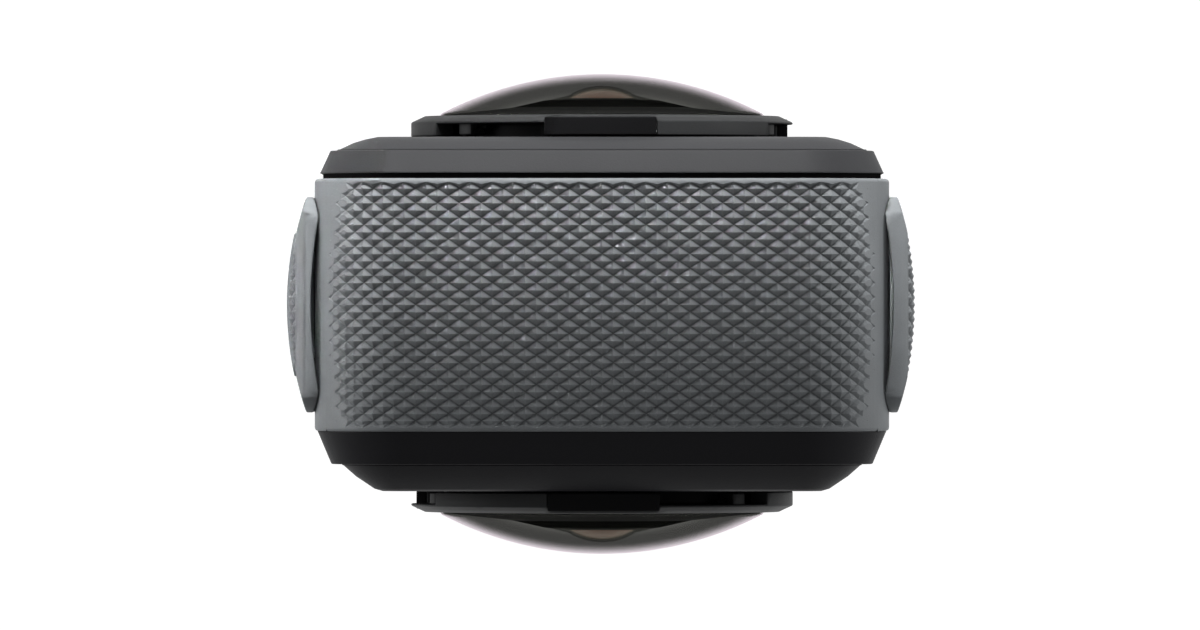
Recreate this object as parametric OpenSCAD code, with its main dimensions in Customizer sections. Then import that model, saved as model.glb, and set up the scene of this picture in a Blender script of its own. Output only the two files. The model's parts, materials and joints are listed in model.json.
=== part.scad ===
// Compact two-lens 360 degree camera, standing on its base.
// Millimetres. +Z is up, the front lens looks along -Y and the rear lens along +Y.
// The battery door is on the -X side and the buttons are on the +X side.
// The origin is the mouth of the tripod socket, in the middle of the base.

/* [Body] */
// Width over the grip band
body_w = 58.4; // [57:0.1:64]
// Height of the grip band, which is the height of the camera
body_h = 69.6; // [68.5:0.1:76]
// Corner radius of the body seen from the front
corner_r = 9; // [8.5:0.1:10.5]
// Front edge of the grip band, ahead of the mid plane
band_front = 11.9; // [11.5:0.05:12.5]
// Rear edge of the grip band, behind the mid plane
band_rear = 13.75; // [13.2:0.05:14.2]
// Thickness of the rubber grip band
band_t = 1.1; // [0.9:0.05:1.3]
// Wall of the middle frame
frame_wall = 1.6; // [1.4:0.05:1.8]

/* [Covers] */
// Distance of both lens faces from the mid plane
face_y = 18; // [17.6:0.05:19]
// Thickness of the front and rear plates at the lens face
plate_t = 1.4; // [1.2:0.05:1.6]
// Depth of the front plate, rim included
front_plate_d = 2.75; // [2.3:0.05:3.2]
// Thickness of the rear seal, seen as a black line
seal_t = 0.53; // [0.4:0.01:0.7]
// Set-back of the front bezel at the grip band
front_bezel_step = 0.3; // [0.1:0.05:0.5]
// Set-back of the front bezel at its seam
front_bezel_slope = 1.7; // [1.3:0.05:2]
// Set-back of the front plate at its seam
front_plate_step = 2.8; // [2.5:0.05:3.1]
// Set-back of the front plate's flat face
front_plate_slope = 6.9; // [6.3:0.05:7.2]
// Set-back of the rear bezel at the seal
rear_bezel_step = 0.55; // [0.3:0.05:0.8]
// Set-back of the rear bezel at its seam
rear_bezel_slope = 1.6; // [1.3:0.05:2]
// Set-back of the rear plate at its seam
rear_plate_step = 2.3; // [2.1:0.05:2.8]
// Set-back of the rear plate's flat face
rear_plate_slope = 6.4; // [5.9:0.05:6.8]

/* [Lenses] */
// Distance of both lens axes below the top of the body
lens_drop = 26.6; // [26:0.1:27]
// Outer radius of the guard ring
ring_r = 19.6; // [19.2:0.05:20]
// Height of the guard ring above the lens face
ring_h = 2.3; // [2.2:0.05:2.6]
// Spherical radius of the dome
dome_r = 35.6; // [33:0.1:40]
// Radius of the dome's edge
dome_edge_r = 16.6; // [16.4:0.05:16.8]
// Thickness of the dome at its middle
dome_t = 1.2; // [1:0.05:1.4]
// Radius of the bayonet collar
collar_r = 16.2; // [16:0.05:16.4]
// Outer radius of the lens barrel
barrel_r = 9.6; // [9:0.1:9.8]
// Radius of the outer fisheye element
element_r = 6.2; // [5.8:0.05:6.4]
// Radius of the inner lenses
inner_lens_r = 5.55; // [5:0.05:5.6]
// Twist that frees a guard ring, in degrees
guard_twist = 25; // [20:1:26]

/* [Side pads] */
// How far a pad stands out from the grip band
pad_t = 2.6; // [2.4:0.05:3]
// Radius of a pad's outward bow
pad_bow_r = 34.8; // [32:0.1:40]
// Depth of a pad, front to rear
pad_d = 21.9; // [21.4:0.1:22.4]
// Middle of the pads, behind the mid plane
pad_y = 0.94; // [0.7:0.02:1.2]
// Distance of the pads' upper ends below the top of the body
pad_drop = 5.6; // [4.6:0.1:7]
// Radius of a pad's corners
pad_corner = 3; // [2:0.1:4]
// Radius that rounds a pad's outer face into its upper and lower ends
pad_end_r = 2.4; // [1.5:0.1:2.6]

/* [Diamond grip] */
// Length of a main diamond across the camera
diamond_l = 4.44; // [4:0.02:5]
// Width of a main diamond along the lens axis
diamond_w = 2.94; // [2.6:0.02:3.4]
// Depth of the main grooves in the grip band
band_groove = 0.42; // [0.2:0.01:0.5]
// Depth of the main grooves in the pads
pad_groove = 0.3; // [0.2:0.01:0.35]

/* [Battery door] */
// Height of the door's hinge axis
hinge_z = 7.6; // [7.2:0.05:8.2]
// Radius of the door's hinge pin
hinge_pin_r = 0.5; // [0.4:0.05:0.6]
// Lower edge of the doorway in the side wall
doorway_z0 = 12; // [11.5:0.1:12.3]
// Distance of the doorway's upper edge below the top of the door
doorway_drop = 8; // [7:0.1:8.2]
// Depth of the doorway, front to rear
doorway_d = 16; // [15.8:0.1:16.4]
// Length of the latch, front to rear
latch_d = 14.6; // [12:0.1:15]
// Height of the latch
latch_h = 10; // [8:0.1:10.5]
// Distance of the released latch's middle below the doorway's upper edge
latch_drop = 6.5; // [6:0.1:7]
// How far the latch stands out from the door
latch_proud = 0.35; // [0.2:0.05:0.6]
// Travel of the latch
latch_travel = 2.5; // [1.5:0.1:2.6]

/* [Buttons] */
// Radius of the shutter button
shutter_r = 5; // [4:0.1:6]
// Distance of the shutter button below the top of its pad
shutter_drop = 19; // [17:0.1:22]
// Length of the power button
power_l = 9; // [7:0.1:10]
// Width of the power button
power_w = 5; // [4:0.1:6]
// Height of the power button above the base
power_z = 27; // [26:0.1:30]
// Travel of both buttons
button_travel = 0.6; // [0.4:0.05:0.65]

/* [Base mount] */
// Thickness of a mount finger
finger_t = 3; // [2.8:0.05:3.1]
// Radius of a finger's round end
finger_r = 7.2; // [7:0.05:7.3]
// Distance from a finger's hinge to its hole
finger_reach = 9.8; // [9.4:0.05:9.9]
// Radius of the hole in a finger
finger_hole_r = 2.6; // [2.5:0.05:3]
// Gap between the two unfolded fingers
finger_gap = 3.2; // [3.1:0.05:3.4]
// Radius of a finger's hinge pin
finger_pin_r = 0.6; // [0.5:0.05:0.7]
// Radius of the tripod socket
socket_r = 3.2; // [3.1:0.05:3.3]
// Depth of the tripod socket
socket_depth = 6.4; // [5.5:0.1:6.8]
// Wall of the tripod insert
insert_wall = 1; // [0.8:0.05:1]

/* [Display and battery] */
// Width of the display glass
display_w = 40; // [34:0.1:41]
// Height of the display glass's lower edge above the base
display_low = 7.6; // [7.4:0.1:10]
// Length of the battery
battery_l = 41; // [36:0.1:43]
// Depth of the battery
battery_d = 14.2; // [13:0.1:14.4]

/* [Fits] */
// Running clearance of a pin in its hole
running_fit = 0.05; // [0.02:0.01:0.08]
// Clearance of a part that slides or swings
sliding_gap = 0.15; // [0.1:0.01:0.2]
// Clearance of a part that is set in place
seat_gap = 0.05; // [0.02:0.01:0.08]

/* [Hidden] */
$fn = 64;
// Sides of the wide arc that bows the pads
bow_sides = 360;
// Sides of the dome's sphere and edge
dome_sides = 160;
// Reach of a cut beyond what it cuts
past = 5;
// Thickness of the slabs that a sloped cover spans
thin = 0.02;

// Body shells
half_w = body_w / 2;
frame_out = half_w - band_t;
frame_in = frame_out - frame_wall;
frame_inset = band_t + frame_wall;
frame_top = body_h - frame_inset;
front_seam = face_y - front_plate_d;
plate_in = face_y - plate_t;
rear_seam = plate_in;
bezel_y = band_rear + seal_t;
bezel_lip = 0.9;
bezel_inset = frame_inset + bezel_lip;
pocket_margin = 0.5;
plate_pocket_inset = front_plate_slope - pocket_margin;
seal_inset = 0.85;

// Cover screws
boss_r = 2.4;
screw_r = 0.8;
screw_head_r = 1.5;
screw_head_h = 0.9;
screw_bite = 3.6;
tab_t = 1.3;
tab_r = 2.6;
screw_low_z = 20;
boss_inset = 6;
low_boss_inset = 2.1;
screw_spare = 0.2;
screw_points = [
  [half_w - boss_inset, body_h - boss_inset], [-half_w + boss_inset, body_h - boss_inset],
  [frame_in - low_boss_inset, screw_low_z], [-frame_in + low_boss_inset, screw_low_z]
];

// Heights that follow the top of the body
lens_z = body_h - lens_drop;
pad_top = body_h - pad_drop;
doorway_z1 = pad_top - doorway_drop;
latch_z = doorway_z1 - latch_drop;
shutter_z = pad_top - shutter_drop;

// Lens stack: distances from the mid plane along a lens axis
ring_gap = 0.2;
ring_low = face_y + ring_gap;
ring_top = face_y + ring_h;
ring_plate_t = 0.85;
ring_under = ring_top - ring_plate_t;
ring_lip = 0.2;
ring_edge = ring_under + ring_lip;
ring_chamfer = 1.4;
ring_wall = 1.1;
insert_drop = 0.25;
insert_top = ring_top - insert_drop;
seat_t = 0.5;
seat_lap = 1.2;
dome_seat = ring_under + seat_t;
dome_rise = 0.24;
dome_base = ring_top + dome_rise;
dome_apex = dome_base + dome_r - sqrt(dome_r * dome_r - dome_edge_r * dome_edge_r);
dome_centre = dome_apex - dome_r;
collar_top = ring_under - ring_gap;
lug_reach = 1.1;
lug_r = collar_r + lug_reach;
lug_t = 0.3;
lug_low = collar_top - lug_t;
barrel_room = 0.6;
collar_in = barrel_r + barrel_room;
flange_reach = 1.9;
flange_r = lug_r + flange_reach;
flange_t = 0.75;
flange_low = plate_in - flange_t;
gasket_t = ring_gap - seat_gap;
gasket_w = 0.7;
baffle_setback = 2;
baffle_r = dome_edge_r - baffle_setback;
baffle_foot = 0.35;
baffle_t = 0.5;
baffle_foot_w = 1.4;
element_room = 0.3;
dome_room = 0.25;
element_show = 1;
element_apex = dome_apex - dome_t - element_room;
element_centre = element_apex - element_r;
baffle_rise = element_apex - element_show;
baffle_low = baffle_rise - baffle_t;
baffle_hole_r = sqrt(pow(element_r, 2) - pow(baffle_rise - element_centre, 2)) + element_room;
baffle_low_r = sqrt(pow(element_r, 2) - pow(baffle_low - element_centre, 2)) + element_room;
barrel_lip = 0.1;
barrel_front = element_centre + barrel_lip;
element_skirt = 2.3;
element_seat = element_centre - element_skirt;
element_wall = 1.2;

// Angles round a lens axis, from straight up towards +X on the rear lens
insert_a0 = -17.6;
insert_a1 = 16.6;
insert_play = 0.1;
skirt_a1 = 60.4;
hook_a0 = -52.5;
hook_a1 = -46.5;
stop_slack = 0.7;
stop_w = 2.8;
lug_over = 3.5;
hook_room = 0.3;
hook_in_r = collar_r + hook_room;
hook_leg_r = lug_r + hook_room;
hook_leg_w = 0.8;
toe_low = face_y + hook_room;
toe_top = lug_low - sliding_gap;

// Boards and modules behind the lenses
chassis_t = 1.5;
sensor_board_t = 1;
sensor_board_w = 24;
sensor_w = 13;
sensor_h = 11;
sensor_t = 1.4;
barrel_wall = 1.1;
sensor_pocket_r = barrel_r - barrel_wall;
sensor_face = chassis_t / 2 + sensor_board_t;
cover_gap = 0.4;
sensor_room = sensor_face + sensor_t + cover_gap;
throat_l = 2.4;
lens_step = sensor_room + throat_l;
inner_lens_t = 2.5;
lens_ledge = 1.1;
throat_r = inner_lens_r - lens_ledge;
board_y = 8.6;
board_t = 1;
board_gap = 0.8;
board_inset = frame_inset + board_gap;
chassis_margin = 3;
shield_x = 6;
shield_lift = 3;
shield_w = 14.5;
shield_t = 1.8;
spreader_x = 2;
spreader_lift = 2;
spreader_w = 18;
spreader_t = 0.8;

// Base tray and fingers
finger_x = (finger_gap + finger_t) / 2;
finger_lift = 0.1;
finger_z = finger_lift + finger_t / 2;
recess_gap = 0.4;
recess_r = finger_r + recess_gap;
recess_z = 2 * finger_lift + finger_t;
tray_floor = 2;
tray_h = recess_z + tray_floor;
tray_end = 1.7;
tray_side = 1.4;
tray_half_x = finger_x + finger_reach + recess_r + tray_end;
tray_half_y = recess_r + tray_side;
deck_t = 1.4;
deck_top = tray_h + deck_t;
well_wall = 1;
insert_r = socket_r + insert_wall;
insert_flange_w = 0.8;
insert_flange_r = insert_r + insert_flange_w;
insert_flange_t = 1;
insert_cap = 1.2;
insert_top_z = socket_depth + insert_cap;
// Notch of a finger, deep enough to clear the insert when the finger stands down
notch_room = 0.4;
knuckle_in = insert_r + notch_room;
notch_x = finger_x + finger_z + 2 * notch_room;
pin_inset = 0.4;
pin_in = knuckle_in + pin_inset;
pin_hold = 1.2;
pin_out = recess_r + pin_hold;
magnet_r = 1.7;
magnet_t = 1.4;
magnet_setback = 4.8;
magnet_x = finger_x + finger_reach + magnet_setback;
base_screw_x = 11;
base_screw_inset = 1.6;
base_screw_y = recess_r - base_screw_inset;
base_screw_r = 0.7;
base_screw_head_r = 1.3;
base_screw_head_h = 0.8;
head_drop = 0.1;
screw_tip_gap = 0.15;

// Battery door
door_gap = sliding_gap;
pad_out = half_w + pad_t;
pad_y0 = pad_y - pad_d / 2;
pad_y1 = pad_y + pad_d / 2;
knuckle_r = 1.05;
hinge_x = -half_w - door_gap - knuckle_r;
hinge_web = 0.85;
ear_w = 1.8;
ear_gap = 0.2;
ear_inset = 3.1;
ear_root = 0.6;
knuckle_half = pad_d / 2 - ear_inset;
knuckle_room = 0.35;
doorway_shift = 0.06;
doorway_y0 = pad_y - doorway_d / 2 + doorway_shift;
doorway_y1 = doorway_y0 + doorway_d;
doorway_r = 1.5;
plug_gap = 0.3;
plug_in = frame_in;
plug_root = 0.3;
plug_web = 0.3;
pocket_edge = 2;
seal_ring_in = 0.5;
seal_ring_w = 1.2;
seal_groove = 0.6;
latch_web = 1.1;
latch_corner = 1.4;
latch_floor = half_w + latch_web;
latch_stem_d = 4.4;
latch_stem_h = 4;
latch_bar_d = 9;
latch_bar_t = 0.7;
latch_bar_drop = 0.5;
latch_bar_top = doorway_z1 - latch_bar_drop;
latch_bar_h = 9;

// Diamond grip: straight grooves on the flat top and ring-shaped ones on the pads.
// The real grip has fine_count grooves where one main groove is cut; the others are finish.
fine_count = 2;
grip_rim = 0.35;
ring_sides = 1440;
grip_phase = 1 / fine_count / 2;
grip_lean = atan2(diamond_w, diamond_l);
grip_half_w = diamond_l * sin(grip_lean) / fine_count / 2;
// Share of its depth by which a groove's cutter stands over the surface
groove_over = 0.5;
grip_y = (band_rear - band_front) / 2;
grip_half_y = (band_rear + band_front) / 2 - grip_rim;
flat_x = half_w - corner_r;
top_reach = grip_half_y / tan(grip_lean);
top_count = ceil((flat_x + top_reach) / diamond_l);
pad_grip_half = doorway_d / 2 + seal_ring_in - seat_gap;
pad_ring_r = pad_bow_r / pow(sin(grip_lean), 2);
pad_grip_top = pad_top - pad_end_r;
pad_grip_mid = (hinge_z - knuckle_r + pad_top) / 2;
pad_count = ceil((pad_top - hinge_z) / diamond_l);

// Battery and sockets behind the doorway
cage_wall = 0.6;
battery_gap = 0.2;
cage_y0 = board_y - battery_d - 2 * battery_gap - 2 * cage_wall;
cage_z0 = doorway_z0 - battery_gap;
cage_top = lens_z - sensor_board_w / 2 - cover_gap;
battery_h = cage_top - cage_z0 - 2 * battery_gap - 2 * cage_wall;
battery_x0 = -frame_in + battery_gap;
battery_x1 = battery_x0 + battery_l;
spreader_h = cage_top - deck_top - 2 * spreader_lift;
shield_h = spreader_h - 2 * (shield_lift - spreader_lift);
contact_l = 0.8;
contact_w = 1;
contact_h = 5;
contact_pitch = 2.4;
contact_lift = 3;
cage_x1 = battery_x1 + contact_l + cage_wall;
socket_setback = 1.5;
socket_x0 = -frame_in + socket_setback;
usb_l = 7.6;
usb_w = 9;
usb_t = 3.2;
usb_shell = 0.35;
usb_tongue_h = 6.6;
usb_tongue_t = 0.7;
usb_tongue_gap = 0.8;
usb_back = 1;
socket_gap = 2.6;
usb_z0 = cage_top + socket_gap;
card_l = 15;
card_w = 11;
card_t = 0.7;
card_push = 0.6;
card_socket_w = 12.2;
card_socket_t = 1.6;
card_room = 0.1;
card_end_wall = 0.5;
card_socket_gap = 1.2;
card_socket_z0 = usb_z0 + usb_w + card_socket_gap;
card_setback = 0.4;
card_x0 = -frame_in + card_setback;
card_x1 = card_x0 + card_l;

// Buttons
cap_gap = sliding_gap;
cap_sunk = 0.15;
cap_out = pad_out - cap_sunk;
cap_room = 0.3;
cap_in = half_w + button_travel + cap_room;
stem_r = 2.2;
power_stem_r = 1.5;
stem_seal_w = 0.75;
stem_seal_t = 0.8;
button_rest = 0.1;
switch_t = 1.5;
button_board_t = 1;
stem_seal_in = 0.4;
button_board_d = 12;
button_board_end = 6.5;
button_board_x = frame_in - stem_seal_in - switch_t - button_board_t;
switch_top = button_board_x + button_board_t + switch_t;
stem_end = switch_top + button_travel + button_rest;
switch_w = 4.5;
switch_plunger_r = 1.2;

// Small parts behind the covers
speaker_w = 13;
speaker_h = 9;
speaker_t = 3.4;
speaker_x = 13.5;
front_parts_z = 13;
mesh_t = 0.15;
slot_count = 5;
slot_pitch = 2;
slot_w = 0.8;
slot_h = 5;
mic_points = [-18, -9];
mic_w = 2.8;
mic_t = 1.1;
mic_hole_r = 0.5;
light_r = 1;
light_tail = 0.9;
display_gap = 1.6;
display_corner = 1.5;
display_h = lens_z - flange_r - display_gap - display_low;
display_z = display_low + display_h / 2;
light_setback = 0.4;
light_lift = 0.6;
rear_light = [display_w / 2 - light_setback, lens_z - flange_r + light_lift];
glass_t = 0.95;
panel_t = 1.8;
panel_margin_x = 1.8;
panel_margin_z = 1.2;
panel_w = display_w - 2 * panel_margin_x;
panel_h = display_h - 2 * panel_margin_z;

// Building blocks
module box(x0, x1, y0, y1, z0, z1) {
  translate([x0, y0, z0]) cube([x1 - x0, y1 - y0, z1 - z0]);
}

// Extrudes a shape drawn in the front view
module along_y(y0, y1) {
  translate([0, y1, 0]) rotate([90, 0, 0]) linear_extrude(y1 - y0) children();
}

// Extrudes a shape drawn in the side view, depth across and height up
module along_x(x0, x1) {
  translate([x0, 0, 0]) rotate([90, 0, 90]) linear_extrude(x1 - x0) children();
}

module rod_y(r, x, z, y0, y1) {
  translate([x, y1, z]) rotate([90, 0, 0]) cylinder(r = r, h = y1 - y0);
}

module rod_x(r, y, z, x0, x1) {
  translate([x0, y, z]) rotate([0, 90, 0]) cylinder(r = r, h = x1 - x0);
}

// Rectangle with round corners, centred
module round_rect(w, h, r) {
  square([w - 2 * r, h], center = true);
  square([w, h - 2 * r], center = true);
  for (x = [-1, 1], y = [-1, 1])
    translate([x * (w / 2 - r), y * (h / 2 - r)]) circle(r);
}

// Front view of the body, set in by a wall
module outline(inset) {
  translate([0, body_h / 2])
    round_rect(body_w - 2 * inset, body_h - 2 * inset, max(corner_r - inset, 1));
}

module slab(inset, y0, y1) {
  along_y(y0, y1) outline(inset);
}

// Sloped cover through a list of [set-back, y] stations
module tiers(stations) {
  hull() for (s = stations) slab(s[0], s[1] - thin / 2, s[1] + thin / 2, $fn = 32);
}

// Places a shape drawn round the Z axis on a lens axis
module on_rear_lens() {
  translate([0, 0, lens_z]) rotate([-90, 0, 0]) children();
}

module on_front_lens() {
  rotate([0, 0, 180]) on_rear_lens() children();
}

// Ring with a rectangular section
module hoop(r0, r1, z0, z1) {
  rotate_extrude() translate([r0, z0]) square([r1 - r0, z1 - z0]);
}

// Part of such a ring, at angles counted from straight up
module arc_block(r0, r1, z0, z1, a0, a1) {
  rotate([0, 0, a0 - 90]) rotate_extrude(angle = a1 - a0)
    translate([r0, z0]) square([r1 - r0, z1 - z0]);
}

module three_times() {
  for (k = [0:2]) rotate([0, 0, 120 * k]) children();
}

// Side view of the doorway, grown by a margin
module doorway(grow) {
  translate([(doorway_y0 + doorway_y1) / 2, (doorway_z0 + doorway_z1) / 2])
    round_rect(doorway_d + 2 * grow, doorway_z1 - doorway_z0 + 2 * grow, doorway_r + grow);
}

// Pad on the -X side, with its inner face a gap away from the grip band
module pad_blank(gap, z0) {
  difference() {
    intersection() {
      slab(-pad_t, -face_y, face_y);
      along_x(-pad_out - past, 0) translate([pad_y, (z0 + pad_top) / 2])
        round_rect(pad_d, pad_top - z0, pad_corner);
      along_y(-face_y, face_y) translate([half_w - pad_out, (z0 + pad_top) / 2])
        round_rect(body_w, pad_top - z0, pad_end_r);
      translate([pad_bow_r - pad_out, pad_y, 0]) cylinder(r = pad_bow_r, h = body_h, $fn = bow_sides);
    }
    slab(-gap, -face_y, face_y);
  }
}

module power_shape(grow) {
  translate([pad_y, power_z])
    round_rect(power_w + 2 * grow, power_l + 2 * grow, power_w / 2 + grow - thin);
}

// Cut that lets the door's hinge ears through the grip band and the door
module ear_spans(grow) {
  for (side = [-1, 1]) {
    y = pad_y + side * (knuckle_half + ear_gap + ear_w / 2);
    ear_span(y - ear_w / 2 - grow, y + ear_w / 2 + grow, grow);
  }
}

module ear_span(y0, y1, grow) {
  box(hinge_x - knuckle_r - grow, -frame_in - ear_root, y0, y1, hinge_z - hinge_web - grow,
    hinge_z + hinge_web + grow);
}

// Middle frame with its screw bosses, base well and hinge ears
module middle_frame() {
  color("dimgray") difference() {
    union() {
      difference() {
        slab(band_t, -band_front, band_rear);
        slab(frame_inset, -band_front - past, band_rear + past);
      }
      for (p = screw_points) {
        rod_y(boss_r, p[0], p[1], -band_front, cage_y0 - cover_gap);
        rod_y(boss_r, p[0], p[1], board_y + board_t, band_rear);
      }
      intersection() {
        box(-tray_half_x - well_wall, tray_half_x + well_wall, -tray_half_y - well_wall,
          tray_half_y + well_wall, 0, deck_top);
        slab(band_t, -face_y, face_y);
      }
      for (side = [-1, 1]) hinge_ear(side);
    }
    box(-tray_half_x - seat_gap, tray_half_x + seat_gap, -tray_half_y - seat_gap,
      tray_half_y + seat_gap, -past, tray_h);
    translate([0, 0, tray_h - past]) cylinder(r = insert_flange_r + sliding_gap, h = deck_t + 2 * past);
    base_screw_cuts(base_screw_r + seat_gap / 2, tray_h - past, deck_top - screw_tip_gap);
    along_x(-half_w, -frame_in + past) doorway(0);
    rod_x(stem_r + sliding_gap, pad_y, shutter_z, frame_in - past, half_w);
    rod_x(power_stem_r + sliding_gap, pad_y, power_z, frame_in - past, half_w);
    stem_seal_cuts();
    for (p = screw_points) {
      rod_y(screw_r + seat_gap / 2, p[0], p[1], -band_front - past, -band_front + screw_bite + screw_spare);
      rod_y(screw_r + seat_gap / 2, p[0], p[1], band_rear - screw_bite - screw_spare, band_rear + past);
    }
    rod_y(hinge_pin_r + seat_gap / 4, hinge_x, hinge_z, pad_y0, pad_y1);
  }
}

module hinge_ear(side) {
  y0 = pad_y + side * (knuckle_half + ear_gap + ear_w / 2) - ear_w / 2;
  rod_y(knuckle_r, hinge_x, hinge_z, y0, y0 + ear_w);
  box(hinge_x, -frame_in - ear_root, y0, y0 + ear_w, hinge_z - hinge_web, hinge_z + hinge_web);
}

module stem_seal_cuts() {
  x0 = frame_in + stem_seal_in;
  rod_x(stem_r + stem_seal_w + seat_gap, pad_y, shutter_z, x0, x0 + stem_seal_t);
  rod_x(power_stem_r + stem_seal_w + seat_gap, pad_y, power_z, x0, x0 + stem_seal_t);
}

module base_screw_cuts(r, z0, z1) {
  for (x = [-1, 1], y = [-1, 1])
    translate([x * base_screw_x, y * base_screw_y, z0]) cylinder(r = r, h = z1 - z0);
}

// Section of a groove: a V that is open above the surface
module groove_section(depth, surface) {
  mouth = grip_half_w * (1 + groove_over);
  top = surface + depth * groove_over;
  polygon([[surface - depth, 0], [top, mouth], [top, -mouth]]);
}

// Straight grooves across the flat top that lean one way
module top_grooves() {
  for (k = [-top_count:top_count]) {
    s = (k + grip_phase) * diamond_l;
    s0 = max(-flat_x, s - top_reach);
    s1 = min(flat_x, s + top_reach);
    if (s1 > s0)
      translate([s, grip_y, body_h]) rotate([0, 0, -grip_lean]) rotate([0, -90, -90])
        translate([0, 0, (s0 - s) / cos(grip_lean)])
        linear_extrude((s1 - s0) / cos(grip_lean)) groove_section(band_groove, 0);
  }
}

// Grooves of the pad on the -X side that climb to the rear, above height z0
module pad_grooves(z0) {
  climb = diamond_l / diamond_w;
  for (k = [-pad_count:pad_count]) {
    z = pad_grip_mid + (k + grip_phase) * diamond_l;
    y0 = max(-pad_grip_half, (z0 - z) / climb);
    y1 = min(pad_grip_half, (pad_grip_top - z) / climb);
    a0 = asin(y0 / sin(grip_lean) / pad_ring_r);
    a1 = asin(y1 / sin(grip_lean) / pad_ring_r);
    if (y1 > y0)
      translate([pad_ring_r - pad_out, 0, z]) rotate([90 - grip_lean, 0, 0])
        rotate([0, 0, 180 - a1]) rotate_extrude(angle = a1 - a0, $fn = ring_sides)
        groove_section(pad_groove, pad_ring_r);
  }
}

// Pad on the -X side with its grooves, which begin above height grip_z0
module pad_grip(gap, z0, grip_z0) {
  difference() {
    difference() {
      pad_blank(gap, z0);
      translate([0, pad_y, 0]) pad_grooves(grip_z0);
    }
    translate([0, pad_y, 0]) mirror([0, 1, 0]) pad_grooves(grip_z0);
  }
}

// Rubber band round the frame
module grip_band() {
  color("gray") difference() {
    difference() {
      band_blank();
      top_grooves();
    }
    mirror([1, 0, 0]) top_grooves();
  }
}

// The band before its grooves are cut
module band_blank() {
  difference() {
    slab(0, -band_front, band_rear);
    slab(band_t, -face_y, face_y);
    box(-tray_half_x - seat_gap, tray_half_x + seat_gap, -tray_half_y - seat_gap,
      tray_half_y + seat_gap, -past, tray_h);
    along_x(-half_w - past, 0) doorway(0);
    rod_x(stem_r + sliding_gap, pad_y, shutter_z, 0, half_w + past);
    rod_x(power_stem_r + sliding_gap, pad_y, power_z, 0, half_w + past);
    ear_spans(seat_gap);
  }
}

// Fixed pad on the button side
module side_pad() {
  color("gray") difference() {
    mirror([1, 0, 0]) pad_grip(seat_gap, hinge_z - knuckle_r, hinge_z - knuckle_r + pad_end_r);
    rod_x(shutter_r + cap_gap, pad_y, shutter_z, 0, pad_out + past);
    along_x(0, pad_out + past) power_shape(cap_gap);
  }
}

module screw_tab(y0, y1) {
  for (p = screw_points) rod_y(tab_r, p[0], p[1], y0, y1);
}

module front_bezel() {
  color([0.12, 0.12, 0.13]) difference() {
    union() {
      difference() {
        tiers([[front_bezel_step, -band_front - thin / 2], [front_bezel_slope, -front_seam + thin / 2]]);
        slab(bezel_inset, -face_y, 0);
      }
      screw_tab(-band_front - tab_t, -band_front);
    }
    for (p = screw_points) {
      rod_y(screw_r + seat_gap, p[0], p[1], -face_y, 0);
      rod_y(screw_head_r + sliding_gap, p[0], p[1], -face_y, -band_front - tab_t);
    }
  }
}

module front_plate() {
  slope = front_plate_slope - front_plate_step;
  color([0.11, 0.11, 0.12]) difference() {
    tiers([
      [front_plate_step, -front_seam - thin / 2],
      [front_plate_step + 0.34 * slope, -front_seam - 0.45 * front_plate_d],
      [front_plate_step + 0.8 * slope, -face_y + 0.25],
      [front_plate_slope, -face_y + thin / 2]
    ]);
    slab(plate_pocket_inset, -plate_in, 0);
    on_front_lens() cylinder(r = lug_r + seat_gap, h = face_y + past);
    for (k = [0:slot_count - 1]) {
      x = speaker_x + (k - (slot_count - 1) / 2) * slot_pitch;
      box(x - slot_w / 2, x + slot_w / 2, -face_y - past, 0, front_parts_z - slot_h / 2,
        front_parts_z + slot_h / 2);
    }
    for (x = mic_points) rod_y(mic_hole_r, x, front_parts_z, -face_y - past, 0);
    rod_y(light_r + seat_gap, 0, front_parts_z, -face_y - past, 0);
  }
}

// Black seal between the frame and the rear bezel
module rear_seal() {
  color([0.03, 0.03, 0.03]) difference() {
    slab(seal_inset, band_rear, bezel_y);
    slab(frame_inset, 0, face_y);
  }
}

module rear_bezel() {
  color([0.36, 0.36, 0.37]) difference() {
    union() {
      difference() {
        tiers([[rear_bezel_step, bezel_y + thin / 2], [rear_bezel_slope, rear_seam - thin / 2]]);
        slab(bezel_inset, 0, face_y);
      }
      screw_tab(bezel_y, bezel_y + tab_t);
    }
    for (p = screw_points) {
      rod_y(screw_r + seat_gap, p[0], p[1], 0, face_y);
      rod_y(screw_head_r + sliding_gap, p[0], p[1], bezel_y + tab_t, face_y);
    }
  }
}

module rear_plate() {
  slope = rear_plate_slope - rear_plate_step;
  color([0.38, 0.38, 0.39]) difference() {
    tiers([
      [rear_plate_step, rear_seam + thin / 2],
      [rear_plate_step + 0.4 * slope, rear_seam + 0.55 * plate_t],
      [rear_plate_step + 0.7 * slope, face_y - 0.25],
      [rear_plate_slope, face_y - thin / 2]
    ]);
    on_rear_lens() cylinder(r = lug_r + seat_gap, h = face_y + past);
    along_y(face_y - glass_t, face_y + past) translate([0, display_z])
      round_rect(display_w + 2 * seat_gap, display_h + 2 * seat_gap, display_corner + seat_gap);
    along_y(0, face_y) translate([0, display_z])
      square([panel_w + 2 * seat_gap, panel_h + 2 * seat_gap], center = true);
    rod_y(light_r + seat_gap, rear_light[0], rear_light[1], 0, face_y + past);
  }
}

module display_glass() {
  color([0.02, 0.02, 0.02]) along_y(face_y - glass_t, face_y)
    translate([0, display_z]) round_rect(display_w, display_h, display_corner);
}

module display_panel() {
  color("slategray") along_y(face_y - glass_t - panel_t, face_y - glass_t)
    translate([0, display_z]) square([panel_w, panel_h], center = true);
}

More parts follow.
